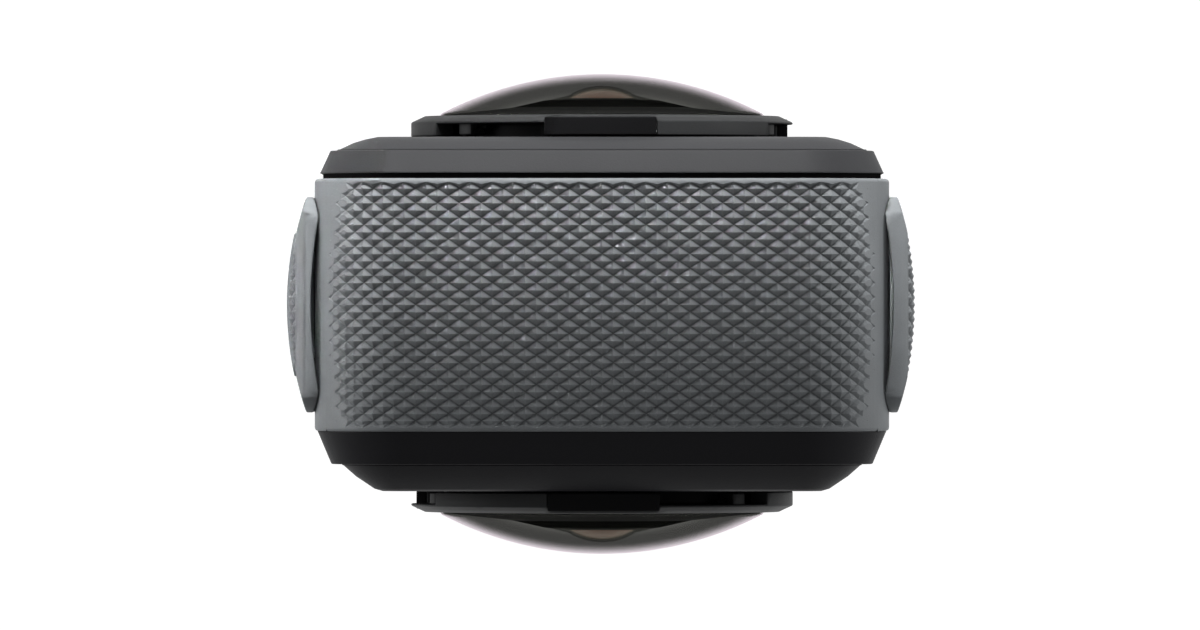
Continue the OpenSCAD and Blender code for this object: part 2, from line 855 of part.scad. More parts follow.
// Screws that hold both bezels to the frame
module cover_screws() {
  color("silver") for (p = screw_points) {
    front = -band_front - tab_t;
    rear = bezel_y + tab_t;
    rod_y(screw_head_r, p[0], p[1], front - screw_head_h, front);
    rod_y(screw_r, p[0], p[1], front, -band_front + screw_bite);
    rod_y(screw_head_r, p[0], p[1], rear, rear + screw_head_h);
    rod_y(screw_r, p[0], p[1], band_rear - screw_bite, rear);
  }
}

// Tray in the base with the recess that the fingers fold into
module base_tray() {
  color([0.14, 0.14, 0.15]) difference() {
    intersection() {
      box(-tray_half_x, tray_half_x, -tray_half_y, tray_half_y, 0, tray_h);
      slab(0, -face_y, face_y);
    }
    box(-finger_x - finger_reach, finger_x + finger_reach, -recess_r, recess_r, -past, recess_z);
    for (side = [-1, 1]) {
      translate([side * (finger_x + finger_reach), 0, -past])
        cylinder(r = recess_r, h = recess_z + past);
      translate([side * magnet_x, 0, 0])
        cylinder(r = magnet_r + seat_gap, h = recess_z + magnet_t);
      for (end = [-1, 1])
        rod_y(finger_pin_r + seat_gap / 4, side * finger_x, finger_z,
          end > 0 ? 0 : -pin_out, end > 0 ? pin_out : 0);
    }
    cylinder(r = insert_r + seat_gap, h = tray_h + past);
    base_screw_cuts(base_screw_head_r + seat_gap, 0, recess_z + base_screw_head_h + head_drop);
    base_screw_cuts(base_screw_r + seat_gap, recess_z, tray_h + past);
  }
}

// Metal tripod socket, pulled against the tray by its flange
module tripod_insert() {
  color("silver") difference() {
    union() {
      cylinder(r = insert_r, h = insert_top_z);
      translate([0, 0, tray_h]) cylinder(r = insert_flange_r, h = insert_flange_t);
    }
    translate([0, 0, -past]) cylinder(r = socket_r, h = socket_depth + past);
  }
}

module base_screws() {
  color("silver") {
    base_screw_cuts(base_screw_head_r, recess_z + head_drop, recess_z + base_screw_head_h + head_drop);
    base_screw_cuts(base_screw_r, recess_z + base_screw_head_h, deck_top - 2 * screw_tip_gap);
  }
}

module finger_pins() {
  color("silver") for (side = [-1, 1]) {
    rod_y(finger_pin_r, side * finger_x, finger_z, pin_in, pin_out);
    rod_y(finger_pin_r, side * finger_x, finger_z, -pin_out, -pin_in);
  }
}

module finger_magnets() {
  color("silver") for (side = [-1, 1])
    translate([side * magnet_x, 0, recess_z]) cylinder(r = magnet_r, h = magnet_t);
}

// Folding mount finger on the +X side, folded flat
module finger_blank() {
  x1 = finger_x + finger_reach;
  difference() {
    union() {
      for (end = [-1, 1]) {
        y = end > 0 ? knuckle_in : -finger_r;
        rod_y(finger_t / 2, finger_x, finger_z, y, y + finger_r - knuckle_in);
      }
      box(finger_x, x1, -finger_r, finger_r, finger_lift, finger_lift + finger_t);
      translate([x1, 0, finger_lift]) cylinder(r = finger_r, h = finger_t);
    }
    box(-past, notch_x, -knuckle_in, knuckle_in, -past, finger_t + past);
    translate([x1, 0, -past]) cylinder(r = finger_hole_r, h = finger_t + 2 * past);
    rod_y(finger_pin_r + running_fit, finger_x, finger_z, -finger_r - past, finger_r + past);
  }
}

module right_finger() {
  color([0.2, 0.2, 0.21]) finger_blank();
}

module left_finger() {
  color([0.2, 0.2, 0.21]) mirror([1, 0, 0]) finger_blank();
}

// Bayonet collar with three lugs and the stops that end the guard ring's twist
module lens_mount() {
  rotate_extrude() polygon([
    [collar_in, flange_low], [flange_r, flange_low], [flange_r, plate_in], [lug_r, plate_in],
    [lug_r, face_y], [collar_r, face_y], [collar_r, collar_top], [collar_in, collar_top]
  ]);
  inner = collar_r - lug_reach / 2;
  near_stop = hook_a0 - stop_slack;
  far_stop = hook_a1 + guard_twist + stop_slack;
  three_times() {
    arc_block(inner, lug_r, lug_low, collar_top, near_stop - stop_w, hook_a1 + lug_over);
    arc_block(inner, lug_r, face_y, collar_top, near_stop - stop_w, near_stop);
    arc_block(inner, lug_r, face_y, collar_top, far_stop, far_stop + stop_w);
  }
}

module front_lens_mount() {
  color([0.09, 0.09, 0.1]) on_front_lens() lens_mount();
}

module rear_lens_mount() {
  color([0.09, 0.09, 0.1]) on_rear_lens() lens_mount();
}

module lens_gasket() {
  hoop(collar_r - gasket_w - seat_gap, collar_r - seat_gap, collar_top, collar_top + gasket_t);
}

module lens_gaskets() {
  color([0.05, 0.05, 0.05]) {
    on_front_lens() lens_gasket();
    on_rear_lens() lens_gasket();
  }
}

module lens_barrel() {
  rotate_extrude() polygon([
    [sensor_pocket_r, sensor_face], [barrel_r, sensor_face], [barrel_r, barrel_front],
    [element_r + seat_gap, barrel_front], [element_r + seat_gap, element_seat],
    [inner_lens_r + seat_gap, element_seat], [inner_lens_r + seat_gap, lens_step],
    [throat_r, lens_step], [throat_r, sensor_room], [sensor_pocket_r, sensor_room]
  ]);
}

module front_lens_barrel() {
  color([0.1, 0.1, 0.1]) on_front_lens() lens_barrel();
}

module rear_lens_barrel() {
  color([0.1, 0.1, 0.1]) on_rear_lens() lens_barrel();
}

// Outer glass element with a steep front and a hollow back
module fisheye() {
  difference() {
    union() {
      translate([0, 0, element_seat]) cylinder(r = element_r, h = element_centre - element_seat);
      intersection() {
        translate([0, 0, element_centre]) sphere(r = element_r);
        translate([0, 0, element_centre]) cylinder(r = element_r + past, h = element_r + past);
      }
    }
    translate([0, 0, element_seat]) sphere(r = inner_lens_r - element_wall);
  }
}

module front_fisheye() {
  color([0.2, 0.15, 0.2]) on_front_lens() fisheye();
}

module rear_fisheye() {
  color([0.2, 0.15, 0.2]) on_rear_lens() fisheye();
}

// Cone of dark plastic between the fisheye element and the dome's edge
module lens_baffle() {
  foot_r = baffle_r - baffle_foot_w;
  rotate_extrude() polygon([
    [foot_r, collar_top], [baffle_r, collar_top], [baffle_r, collar_top + baffle_foot],
    [baffle_hole_r, baffle_rise], [baffle_low_r, baffle_low],
    [foot_r, collar_top + baffle_foot / 2]
  ]);
}

module lens_baffles() {
  color([0.15, 0.15, 0.15]) {
    on_front_lens() lens_baffle();
    on_rear_lens() lens_baffle();
  }
}

// Stack of two lenses on the barrel's step
module inner_lens_stack() {
  for (k = [0:1]) translate([0, 0, lens_step + k * inner_lens_t])
    intersection() {
      cylinder(r = inner_lens_r, h = inner_lens_t);
      translate([0, 0, inner_lens_t - 2 * inner_lens_r]) sphere(r = 2 * inner_lens_r);
    }
}

module inner_lenses() {
  color("lightblue") {
    on_front_lens() inner_lens_stack();
    on_rear_lens() inner_lens_stack();
  }
}

module image_sensor() {
  translate([-sensor_w / 2, -sensor_h / 2, sensor_face]) cube([sensor_w, sensor_h, sensor_t]);
}

module image_sensors() {
  color("black") {
    on_front_lens() image_sensor();
    on_rear_lens() image_sensor();
  }
}

module sensor_board() {
  translate([-sensor_board_w / 2, -sensor_board_w / 2, chassis_t / 2])
    cube([sensor_board_w, sensor_board_w, sensor_board_t]);
}

module sensor_boards() {
  color("darkgreen") {
    on_front_lens() sensor_board();
    on_rear_lens() sensor_board();
  }
}

// Plate in the mid plane that carries both lenses
module chassis_plate() {
  color("lightgray") intersection() {
    box(-sensor_board_w / 2 - chassis_margin, button_board_x, -face_y, face_y, cage_top, frame_top);
    slab(frame_inset + seat_gap, -chassis_t / 2, chassis_t / 2);
  }
}

module main_board() {
  color("darkgreen") difference() {
    slab(board_inset, board_y, board_y + board_t);
    box(-half_w, half_w, 0, face_y, -past, deck_top + board_gap);
    on_rear_lens() cylinder(r = barrel_r + barrel_room, h = face_y);
  }
}

module processor_shield() {
  y = board_y + board_t;
  z = deck_top + shield_lift;
  color("silver") box(shield_x, shield_x + shield_w, y, y + shield_t, z, z + shield_h);
}

module heat_spreader() {
  y = board_y + board_t + shield_t;
  z = deck_top + spreader_lift;
  color("lightgray") box(spreader_x, spreader_x + spreader_w, y, y + spreader_t, z, z + spreader_h);
}

// Battery bay, open towards the door
module battery_cage() {
  color([0.25, 0.25, 0.26]) difference() {
    box(-frame_in, cage_x1, cage_y0, board_y, cage_z0, cage_top);
    box(-frame_in - past, cage_x1 - cage_wall, cage_y0 + cage_wall, board_y - cage_wall,
      cage_z0 + cage_wall, cage_top - cage_wall);
  }
}

module battery() {
  y0 = cage_y0 + cage_wall + battery_gap;
  z0 = cage_z0 + cage_wall;
  color("darkslategray") box(battery_x0, battery_x1, y0, y0 + battery_d, z0, z0 + battery_h);
}

module battery_contacts() {
  y = (cage_y0 + board_y) / 2;
  z = cage_z0 + cage_wall + contact_lift;
  color("gold") for (k = [-1.5:1:1.5])
    box(battery_x1, battery_x1 + contact_l, y + k * contact_pitch - contact_w / 2,
      y + k * contact_pitch + contact_w / 2, z, z + contact_h);
}

module usb_socket() {
  y = board_y - usb_t / 2;
  z = usb_z0 + usb_w / 2;
  color("silver") {
    difference() {
      along_x(socket_x0, socket_x0 + usb_l) translate([y, z])
        round_rect(usb_t, usb_w, usb_t / 2 - thin);
      along_x(socket_x0 - past, socket_x0 + usb_l - usb_back) translate([y, z])
        round_rect(usb_t - 2 * usb_shell, usb_w - 2 * usb_shell, usb_t / 2 - usb_shell - thin);
    }
    box(socket_x0 + usb_tongue_gap, socket_x0 + usb_l - usb_back / 2, y - usb_tongue_t / 2,
      y + usb_tongue_t / 2, z - usb_tongue_h / 2, z + usb_tongue_h / 2);
  }
}

module card_socket() {
  z = card_socket_z0 + card_socket_w / 2;
  y = board_y - card_socket_t / 2;
  color("silver") difference() {
    box(socket_x0, card_x1 + card_push + card_room + card_end_wall, board_y - card_socket_t, board_y,
      card_socket_z0, card_socket_z0 + card_socket_w);
    box(socket_x0 - past, card_x1 + card_push + card_room, y - card_t / 2 - card_room,
      y + card_t / 2 + card_room, z - card_w / 2 - card_room, z + card_w / 2 + card_room);
  }
}

module memory_card() {
  z = card_socket_z0 + card_socket_w / 2;
  y = board_y - card_socket_t / 2;
  color([0.1, 0.1, 0.1])
    box(card_x0, card_x1, y - card_t / 2, y + card_t / 2, z - card_w / 2, z + card_w / 2);
}

module button_board() {
  color("darkgreen") box(button_board_x, button_board_x + button_board_t, pad_y - button_board_d / 2,
    pad_y + button_board_d / 2, power_z - button_board_end, shutter_z + button_board_end);
}

module button_switches() {
  x = button_board_x + button_board_t;
  color("silver") for (z = [power_z, shutter_z]) {
    box(x, x + switch_t / 2, pad_y - switch_w / 2, pad_y + switch_w / 2, z - switch_w / 2,
      z + switch_w / 2);
    rod_x(switch_plunger_r, pad_y, z, x + switch_t / 4, switch_top);
  }
}

// Rings in the side wall that seal the button stems
module button_seals() {
  x0 = frame_in + stem_seal_in;
  color([0.05, 0.05, 0.05]) {
    stem_seal(stem_r, shutter_z, x0);
    stem_seal(power_stem_r, power_z, x0);
  }
}

module stem_seal(r, z, x0) {
  difference() {
    rod_x(r + stem_seal_w, pad_y, z, x0, x0 + stem_seal_t);
    rod_x(r + running_fit, pad_y, z, x0 - past, x0 + stem_seal_t + past);
  }
}

module shutter_button() {
  color([0.3, 0.3, 0.31]) {
    rod_x(shutter_r, pad_y, shutter_z, cap_in, cap_out);
    rod_x(stem_r, pad_y, shutter_z, stem_end, cap_in);
  }
}

module power_button() {
  color([0.3, 0.3, 0.31]) {
    along_x(cap_in, cap_out) power_shape(0);
    rod_x(power_stem_r, pad_y, power_z, stem_end, cap_in);
  }
}

module speaker() {
  y = -plate_in + mesh_t;
  color([0.1, 0.1, 0.1]) box(speaker_x - speaker_w / 2, speaker_x + speaker_w / 2, y, y + speaker_t,
    front_parts_z - speaker_h / 2, front_parts_z + speaker_h / 2);
}

module speaker_mesh() {
  color([0.2, 0.2, 0.2]) box(speaker_x - speaker_w / 2, speaker_x + speaker_w / 2, -plate_in,
    -plate_in + mesh_t, front_parts_z - speaker_h / 2, front_parts_z + speaker_h / 2);
}

module microphones() {
  color("silver") for (x = mic_points)
    box(x - mic_w / 2, x + mic_w / 2, -plate_in, -plate_in + mic_t, front_parts_z - mic_w / 2,
      front_parts_z + mic_w / 2);
}

module status_lights() {
  color("white") {
    rod_y(light_r, 0, front_parts_z, -face_y, -plate_in + light_tail);
    rod_y(light_r, rear_light[0], rear_light[1], plate_in - light_tail, face_y);
  }
}

// Door over the battery and sockets, closed, with its plug in the doorway
module battery_door() {
  color("gray") difference() {
    union() {
      difference() {
        pad_grip(door_gap, hinge_z, hinge_z + pad_end_r);
        for (side = [-1, 1]) {
          y = pad_y + side * (knuckle_half + pad_d / 2);
          box(-pad_out - past, 0, y - pad_d / 2, y + pad_d / 2, 0,
            hinge_z + knuckle_r + knuckle_room);
        }
      }
      rod_y(knuckle_r, hinge_x, hinge_z, pad_y - knuckle_half, pad_y + knuckle_half);
      along_x(-half_w - door_gap - plug_root, -plug_in) doorway(-plug_gap);
    }
    rod_y(hinge_pin_r + running_fit, hinge_x, hinge_z, pad_y0, pad_y1);
    along_x(-half_w - door_gap - seal_groove, -half_w) difference() {
      doorway(seal_ring_in + seal_ring_w + seat_gap);
      doorway(seal_ring_in - seat_gap);
    }
    along_x(-frame_out - plug_web, 0) door_pocket();
    latch_pocket();
  }
}

// Lightening pocket in the door's plug, below the latch
module door_pocket() {
  z0 = doorway_z0 + pocket_edge;
  z1 = latch_z - latch_h / 2 - pocket_edge;
  translate([pad_y, (z0 + z1) / 2]) round_rect(doorway_d - 2 * pocket_edge, z1 - z0, pocket_edge / 2);
}

module latch_pocket() {
  gap = sliding_gap;
  along_x(-pad_out - past, -latch_floor) translate([pad_y, latch_z + latch_travel / 2])
    round_rect(latch_d + 2 * gap, latch_h + latch_travel + 2 * gap, latch_corner + gap);
  box(-pad_out, 0, pad_y - latch_stem_d / 2 - gap, pad_y + latch_stem_d / 2 + gap,
    latch_z - latch_stem_h / 2 - gap, latch_z + latch_stem_h / 2 + latch_travel + gap);
}

module door_seal() {
  color([0.05, 0.05, 0.05]) along_x(-half_w - door_gap - seal_groove, -half_w - seat_gap) difference() {
    doorway(seal_ring_in + seal_ring_w);
    doorway(seal_ring_in);
  }
}

module door_hinge_pin() {
  ear_end = knuckle_half + ear_gap + ear_w;
  color("silver") rod_y(hinge_pin_r, hinge_x, hinge_z, pad_y - ear_end, pad_y + ear_end);
}

// Sliding latch: thumb plate outside, stem through the door, locking bar inside
module door_latch() {
  bar_x = -plug_in + sliding_gap;
  bow = pad_bow_r + latch_proud;
  color([0.2, 0.2, 0.21]) {
    intersection() {
      along_x(-pad_out - past, -latch_floor - sliding_gap) translate([pad_y, latch_z])
        round_rect(latch_d, latch_h, latch_corner);
      translate([pad_bow_r - pad_out, pad_y, 0]) cylinder(r = bow, h = body_h, $fn = bow_sides);
    }
    box(-latch_floor - sliding_gap, bar_x, pad_y - latch_stem_d / 2, pad_y + latch_stem_d / 2,
      latch_z - latch_stem_h / 2, latch_z + latch_stem_h / 2);
    box(bar_x, bar_x + latch_bar_t, pad_y - latch_bar_d / 2, pad_y + latch_bar_d / 2,
      latch_bar_top - latch_bar_h, latch_bar_top);
  }
}

// Twist-off guard ring: a plate and wall of one piece, cut to three skirts, with three bayonet hooks
module guard_ring() {
  seat_r = dome_edge_r - seat_lap;
  wall_r = ring_r - ring_wall;
  difference() {
    rotate_extrude() polygon([
      [seat_r, ring_under], [hook_leg_r, ring_under], [hook_leg_r, ring_low], [ring_r, ring_low],
      [ring_r, ring_edge], [ring_r - ring_chamfer, ring_top], [dome_edge_r + seat_gap, ring_top],
      [dome_edge_r + seat_gap, dome_seat], [seat_r, dome_seat]
    ]);
    three_times() {
      arc_block(wall_r, ring_r + past, ring_low - past, ring_top + past, insert_a0, insert_a1);
      arc_block(hook_in_r, ring_r + past, ring_low - past, ring_under, skirt_a1 - 120, insert_a0);
    }
  }
  three_times() {
    arc_block(hook_leg_r, hook_leg_r + hook_leg_w, toe_low, ring_under + seat_t / 2, hook_a0, hook_a1);
    arc_block(hook_in_r, hook_leg_r + hook_leg_w / 2, toe_low, toe_top, hook_a0, hook_a1);
  }
}

module front_guard_ring() {
  color([0.14, 0.14, 0.15]) on_front_lens() guard_ring();
}

module rear_guard_ring() {
  color([0.25, 0.25, 0.26]) on_rear_lens() guard_ring();
}

module grip_insert_set() {
  three_times()
    arc_block(ring_r - ring_wall, ring_r, ring_low, insert_top, insert_a0 + insert_play,
      insert_a1 - insert_play);
}

module front_grip_inserts() {
  color([0.1, 0.1, 0.1]) on_front_lens() grip_insert_set();
}

module rear_grip_inserts() {
  color([0.12, 0.12, 0.13]) on_rear_lens() grip_insert_set();
}

// Thick glass whose hollow back follows the baffle's cone and the fisheye element
module dome() {
  cone_low = collar_top + baffle_foot;
  cone_slope = (baffle_rise - cone_low) / (baffle_r - baffle_hole_r);
  cone_end_r = baffle_hole_r / 2;
  difference() {
    intersection() {
      translate([0, 0, dome_centre]) sphere(r = dome_r, $fn = dome_sides);
      translate([0, 0, dome_seat]) cylinder(r = dome_edge_r, h = dome_apex, $fn = dome_sides);
    }
    translate([0, 0, cone_low + dome_room])
      cylinder(r1 = baffle_r, r2 = cone_end_r, h = (baffle_r - cone_end_r) * cone_slope);
    translate([0, 0, element_centre]) sphere(r = element_r + element_room);
  }
}

module front_dome() {
  color("lightsteelblue", 0.5) on_front_lens() dome();
}

module rear_dome() {
  color("lightsteelblue", 0.5) on_rear_lens() dome();
}

middle_frame();
grip_band();
side_pad();
front_bezel();
front_plate();
rear_seal();
rear_bezel();
rear_plate();
display_glass();
display_panel();
cover_screws();
base_tray();
tripod_insert();
base_screws();
finger_pins();
finger_magnets();
front_lens_mount();
rear_lens_mount();
lens_gaskets();
front_lens_barrel();
rear_lens_barrel();
front_fisheye();
rear_fisheye();
lens_baffles();
inner_lenses();
image_sensors();
sensor_boards();
chassis_plate();
main_board();
processor_shield();
heat_spreader();
battery_cage();
battery();
battery_contacts();
usb_socket();
card_socket();
memory_card();
button_board();
button_switches();
button_seals();
speaker();
speaker_mesh();
microphones();
status_lights();
battery_door();
door_seal();
door_hinge_pin();
door_latch();
shutter_button();
power_button();
left_finger();
right_finger();
front_guard_ring();
rear_guard_ring();
front_grip_inserts();
rear_grip_inserts();
front_dome();
rear_dome();
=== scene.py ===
"""Dresses the packed two-lens camera: knurled grips, covers, lens guards, controls, base and stage."""

import json
import math
from contextlib import contextmanager

import bmesh
import bpy
import numpy as np
from bpy.props import FloatProperty, FloatVectorProperty, PointerProperty
from bpy.types import Operator, Panel, PropertyGroup
from mathutils import Matrix, Vector

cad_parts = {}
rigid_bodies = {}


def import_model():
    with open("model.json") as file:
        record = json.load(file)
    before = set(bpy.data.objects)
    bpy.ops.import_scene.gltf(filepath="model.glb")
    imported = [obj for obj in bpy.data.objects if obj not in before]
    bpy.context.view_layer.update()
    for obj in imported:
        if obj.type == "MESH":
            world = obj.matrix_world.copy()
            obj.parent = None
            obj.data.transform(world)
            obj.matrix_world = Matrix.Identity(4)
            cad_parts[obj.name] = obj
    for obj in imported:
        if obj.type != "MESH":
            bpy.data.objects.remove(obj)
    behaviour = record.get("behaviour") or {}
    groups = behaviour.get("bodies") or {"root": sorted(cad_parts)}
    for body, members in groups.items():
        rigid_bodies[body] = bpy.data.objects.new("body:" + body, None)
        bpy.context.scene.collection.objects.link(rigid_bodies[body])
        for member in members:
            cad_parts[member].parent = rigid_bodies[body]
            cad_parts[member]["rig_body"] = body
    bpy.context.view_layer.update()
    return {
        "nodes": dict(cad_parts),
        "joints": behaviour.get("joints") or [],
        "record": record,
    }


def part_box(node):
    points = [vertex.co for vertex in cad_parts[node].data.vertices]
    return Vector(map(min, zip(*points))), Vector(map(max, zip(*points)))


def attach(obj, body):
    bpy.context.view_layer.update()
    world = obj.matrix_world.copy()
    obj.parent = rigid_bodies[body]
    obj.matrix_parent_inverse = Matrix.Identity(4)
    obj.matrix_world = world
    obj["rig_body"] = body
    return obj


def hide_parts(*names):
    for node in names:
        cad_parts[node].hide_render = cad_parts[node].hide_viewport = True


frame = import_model()

bl_info = {
    "name": "Two-lens camera",
    "version": (1, 0, 0),
    "blender": (4, 5, 0),
    "location": "3D View > Sidebar > Camera",
    "description": "Dresses the packed camera with its grip, glass, finishes and stage",
    "category": "Object",
}

MM = 0.001
MERGE = 1e-6
FLAT_ANGLE = math.radians(0.3)
SMOOTH_ANGLE = math.radians(38)
SOFT_ANGLE = math.radians(35)
QUARTER = math.pi / 2

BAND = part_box("grip_band")
BAND_MID = (BAND[0].y + BAND[1].y) / 2
BAND_HALF = (BAND[1].y - BAND[0].y) / 2
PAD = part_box("side_pad")
PAD_MID = (PAD[0].y + PAD[1].y) / 2
PAD_HALF = (PAD[1].y - PAD[0].y) / 2
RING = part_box("rear_guard_ring")
LENS_Z = (RING[0].z + RING[1].z) / 2
SLOTS = {entry["node"]: entry["material_slot"] for entry in frame["record"]["subparts"]}
BODIES = {node: piece["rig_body"] for node, piece in frame["nodes"].items()}

# Play and overlap of cutters, knurled sheets and collars
OVERSHOOT = 1 * MM
CUT_PAST = 0.1 * MM
SKIRT = 0.1 * MM
RECESS_ROOM = 0.06 * MM
RECESS_INSET = 0.03 * MM
HOLE_PLAY = 0.15 * MM
COLLAR_PLAY = 0.02 * MM
COLLAR_EDGE = 0.12 * MM
COLLAR_LAP = 0.25 * MM

# Diamonds: height share of the flanks, saddle at a border and the powers of the rise from there
FLANK = 0.94
BORDER_SADDLE = 0.75
SADDLE_RISE = 1.5
RUN_RISE = 2.4

# Side pads: cut corners of the grip, groove behind the top edge and pocket of the latch
PAD_TURN = 0.55
PAD_SLANT = 2.0 * MM
SLANT_NORMAL = (0.5812, 0.8137)
PAD_BLEND = 0.4 * MM
PAD_FACE = 2 * MM
PAD_CLEAR = 0.1 * MM
GROOVE_X = 28.35 * MM
GROOVE_BOW = 1.2 * MM
GROOVE_BACK_X = 26 * MM
POCKET_Z = 50.75 * MM
POCKET_HALF = 6.4 * MM
POCKET_R = 1.55 * MM

# Domes: soft edge and thickness of the paint below
DOME_EDGE = 0.08 * MM
PAINT = 0.03 * MM

# Controls and base: dish of the button, grooves of the latch, keys of the screws and tripod thread
DISH_R = 40 * MM
DISH_DEPTH = 0.2 * MM
LATCH_RIBS = 4
LATCH_RIB_Z = 49.5 * MM
LATCH_RIB_HALF_LENGTH = 3.2 * MM
LATCH_RIB_HALF_WIDTH = 0.34 * MM
SCREW_R = 1.3 * MM
KEY_R = 0.75 * MM
KEY_DEPTH = 0.5 * MM
THREAD_R = 3.2 * MM
THREAD_START = 0.6 * MM
THREAD_REACH = 5.6 * MM


def length(name, text, value):
    """A size property whose default is given in millimetres."""
    return FloatProperty(name=name, description=text, default=value * MM, precision=5, unit="LENGTH")


def amount(name, text, value, top=1.0):
    """A plain number property from 0 to top."""
    return FloatProperty(name=name, description=text, default=value, min=0.0, max=top)


def shade(name, text, value):
    """A colour property."""
    return FloatVectorProperty(
        name=name, description=text, default=value, size=3, min=0.0, max=1.0, subtype="COLOR"
    )


class GripSizes(PropertyGroup):
    """Sizes of the diamond grip on the band and the side pads."""

    pitch_s: length("Diamond length", "Length of a diamond across the camera", 2.22)
    pitch_v: length("Diamond width", "Width of a diamond along the lens axis", 1.47)
    depth: length("Depth", "Depth of the valleys between the diamonds", 0.42)
    tip: amount("Tip", "Width of a diamond's blunt tip as a share of its base", 0.09)
    saddle: amount("Saddle", "Rise of the valleys between the corners of full diamonds", 0.08)
    fade: length("Run-out", "Width over which the diamonds rise to a smooth border", 0.5)
    side_fade: length("Side run-out", "Width over which they rise towards the sides of the band", 5.5)
    side_bulge: length("Side bulge", "How much further the diamonds reach at the middle of a side", 2.0)
    pad_depth: length("Pad depth", "Depth of the valleys on the side pads", 0.3)
    corner_r: length("Corner radius", "Radius of the band's corners", 9.0)
    reach: length("Reach", "Where the diamonds end, along the surface from the middle of the top", 29.6)
    rim: length("Rim", "Smooth rim along the band's edges", 0.35)
    bow_r: length("Pad bow", "Radius of a pad's outer face", 34.8)
    end_r: length("Pad end", "Radius that rounds a pad into its ends", 2.4)
    pad_rim: length("Pad rim", "Smooth rim along a pad's edges", 0.5)
    collar: length("Collar", "Width of the smooth collar round a button or the latch", 1.1)
    groove: length("Groove", "Depth of the groove behind the top edge of a pad", 2.0)


class LensSizes(PropertyGroup):
    """Sizes of the domes and the lens elements below them."""

    dome_r: length("Dome radius", "Outer sphere of a dome", 35.6)
    dome_t: length("Dome thickness", "Thickness of a dome at its middle", 1.2)
    back_r: length("Back cone", "Radius at which the hollow back of a dome begins", 14.17)
    back_end_r: length("Back cone end", "Radius at which it meets the hollow over the element", 3.45)
    clear_r: length("Clear radius", "Inner radius of the black paint under a dome", 5.9)
    stop_r: length("Light stop", "Radius inside which the back of a dome is black", 9.3)
    stop_rise: length("Stop rise", "Height of that radius over the seat of a dome", 1.2)
    hollow_r: length("Hollow", "Sphere of the hollow over the front element", 6.5)
    dome_rise: length("Dome step", "Upright edge of a dome", 0.59)
    element_r: length("Element radius", "Sphere of the front lens element", 6.2)
    element_wall: length("Element wall", "Thickness of the front lens element", 1.2)


class FitSizes(PropertyGroup):
    """Sizes of edges and small fittings."""

    edge: length("Edge", "Soft edge on moulded pieces", 0.12)
    band_edge: length("Band edge", "Round edge of the grip band", 0.35)
    fine_edge: length("Fine edge", "Soft edge on thin or small pieces", 0.06)
    wire: length("Wire", "Thickness of the wires of the speaker mesh", 0.16)
    wire_pitch: length("Wire pitch", "Distance between the wires of the speaker mesh", 0.42)
    thread_pitch: length("Thread pitch", "Pitch of the thread in the tripod socket", 1.27)
    thread_depth: length("Thread depth", "Height of the thread's ridge", 0.5)
    rib_pitch: length("Rib pitch", "Distance between the grooves in the latch", 1.6)
    rib_depth: length("Rib depth", "Depth of the grooves in the latch", 0.4)


class FinishColours(PropertyGroup):
    """Base colours of the finishes."""

    grip: shade("Grip", "Rubber of the band and the pads", (0.155, 0.165, 0.172))
    rear: shade("Rear cover", "Moulded rear cover", (0.0255, 0.0259, 0.0275))
    front: shade("Front cover", "Moulded front cover", (0.012, 0.012, 0.0135))
    ring: shade("Guard ring", "Moulded lens guard", (0.023, 0.0237, 0.0244))
    dark: shade("Dark parts", "Inserts, latch, buttons, tray and fingers", (0.0065, 0.0065, 0.007))
    frame: shade("Frame", "Moulded middle frame and cages", (0.05, 0.05, 0.053))
    seal: shade("Seals", "Rubber seals", (0.006, 0.006, 0.006))
    steel: shade("Steel", "Screws, pins and the tripod insert", (0.56, 0.56, 0.57))
    alloy: shade("Light metal", "Chassis, shield and heat spreader", (0.6, 0.6, 0.62))
    board: shade("Circuit board", "Solder mask", (0.012, 0.075, 0.035))
    brass: shade("Contacts", "Contact springs", (0.8, 0.58, 0.24))
    wrap: shade("Battery wrap", "Battery case", (0.05, 0.055, 0.065))
    glow: shade("Light pipe", "Status lights, unlit", (0.75, 0.76, 0.74))
    # This colour shows in full only in the ring of painted reflection on each element; elsewhere the element
    # keeps a small share of it.
    element: shade("Lens element", "Dark inside of the front lens elements", (0.34, 0.12, 0.075))
    amber: shade("Element edge", "Coating of the front lens elements at a low angle", (1.0, 0.78, 0.62))
    blush: shade("Coating edge", "Coating of the glass at a low angle", (1.0, 0.9, 0.97))
    leaf: shade("Coating face", "Coating of the glass nearer face on", (0.36, 0.38, 0.31))


class StageSettings(PropertyGroup):
    """Camera, lamps and floor."""

    lens: FloatProperty(name="Lens", description="Focal length in millimetres", default=500.0)
    width: length("Picture width", "Width of the picture at the height it is measured", 122.4)
    height: length("Height", "Height at which the picture's width is measured", 55.0)
    shift_x: length("Aside", "Camera's place across the object", -0.2)
    shift_y: length("Along", "Camera's place along the lens axis", -0.1)
    floor_drop: length("Floor", "Distance of the floor below the base, clear of the unfolded fingers", 16.5)
    key: amount("Key lamp", "Power of the gridded lamp behind and above", 0.0195, 100.0)
    spread: FloatProperty(
        name="Key spread",
        description="Angle of the key lamp's beam",
        default=math.radians(5.5),
        subtype="ANGLE",
    )
    fill: amount("Fill lamp", "Power of the low lamp in front", 0.3, 100.0)
    left: amount("Left lamp", "Power of the lamp on the left", 1.2, 100.0)
    right: amount("Right lamp", "Power of the lamp on the right", 0.83, 100.0)
    sky: amount("Surroundings", "Strength of the even light from all round", 0.165, 10.0)
    glow: amount("Floor white", "White that the floor adds for the camera", 0.94, 10.0)


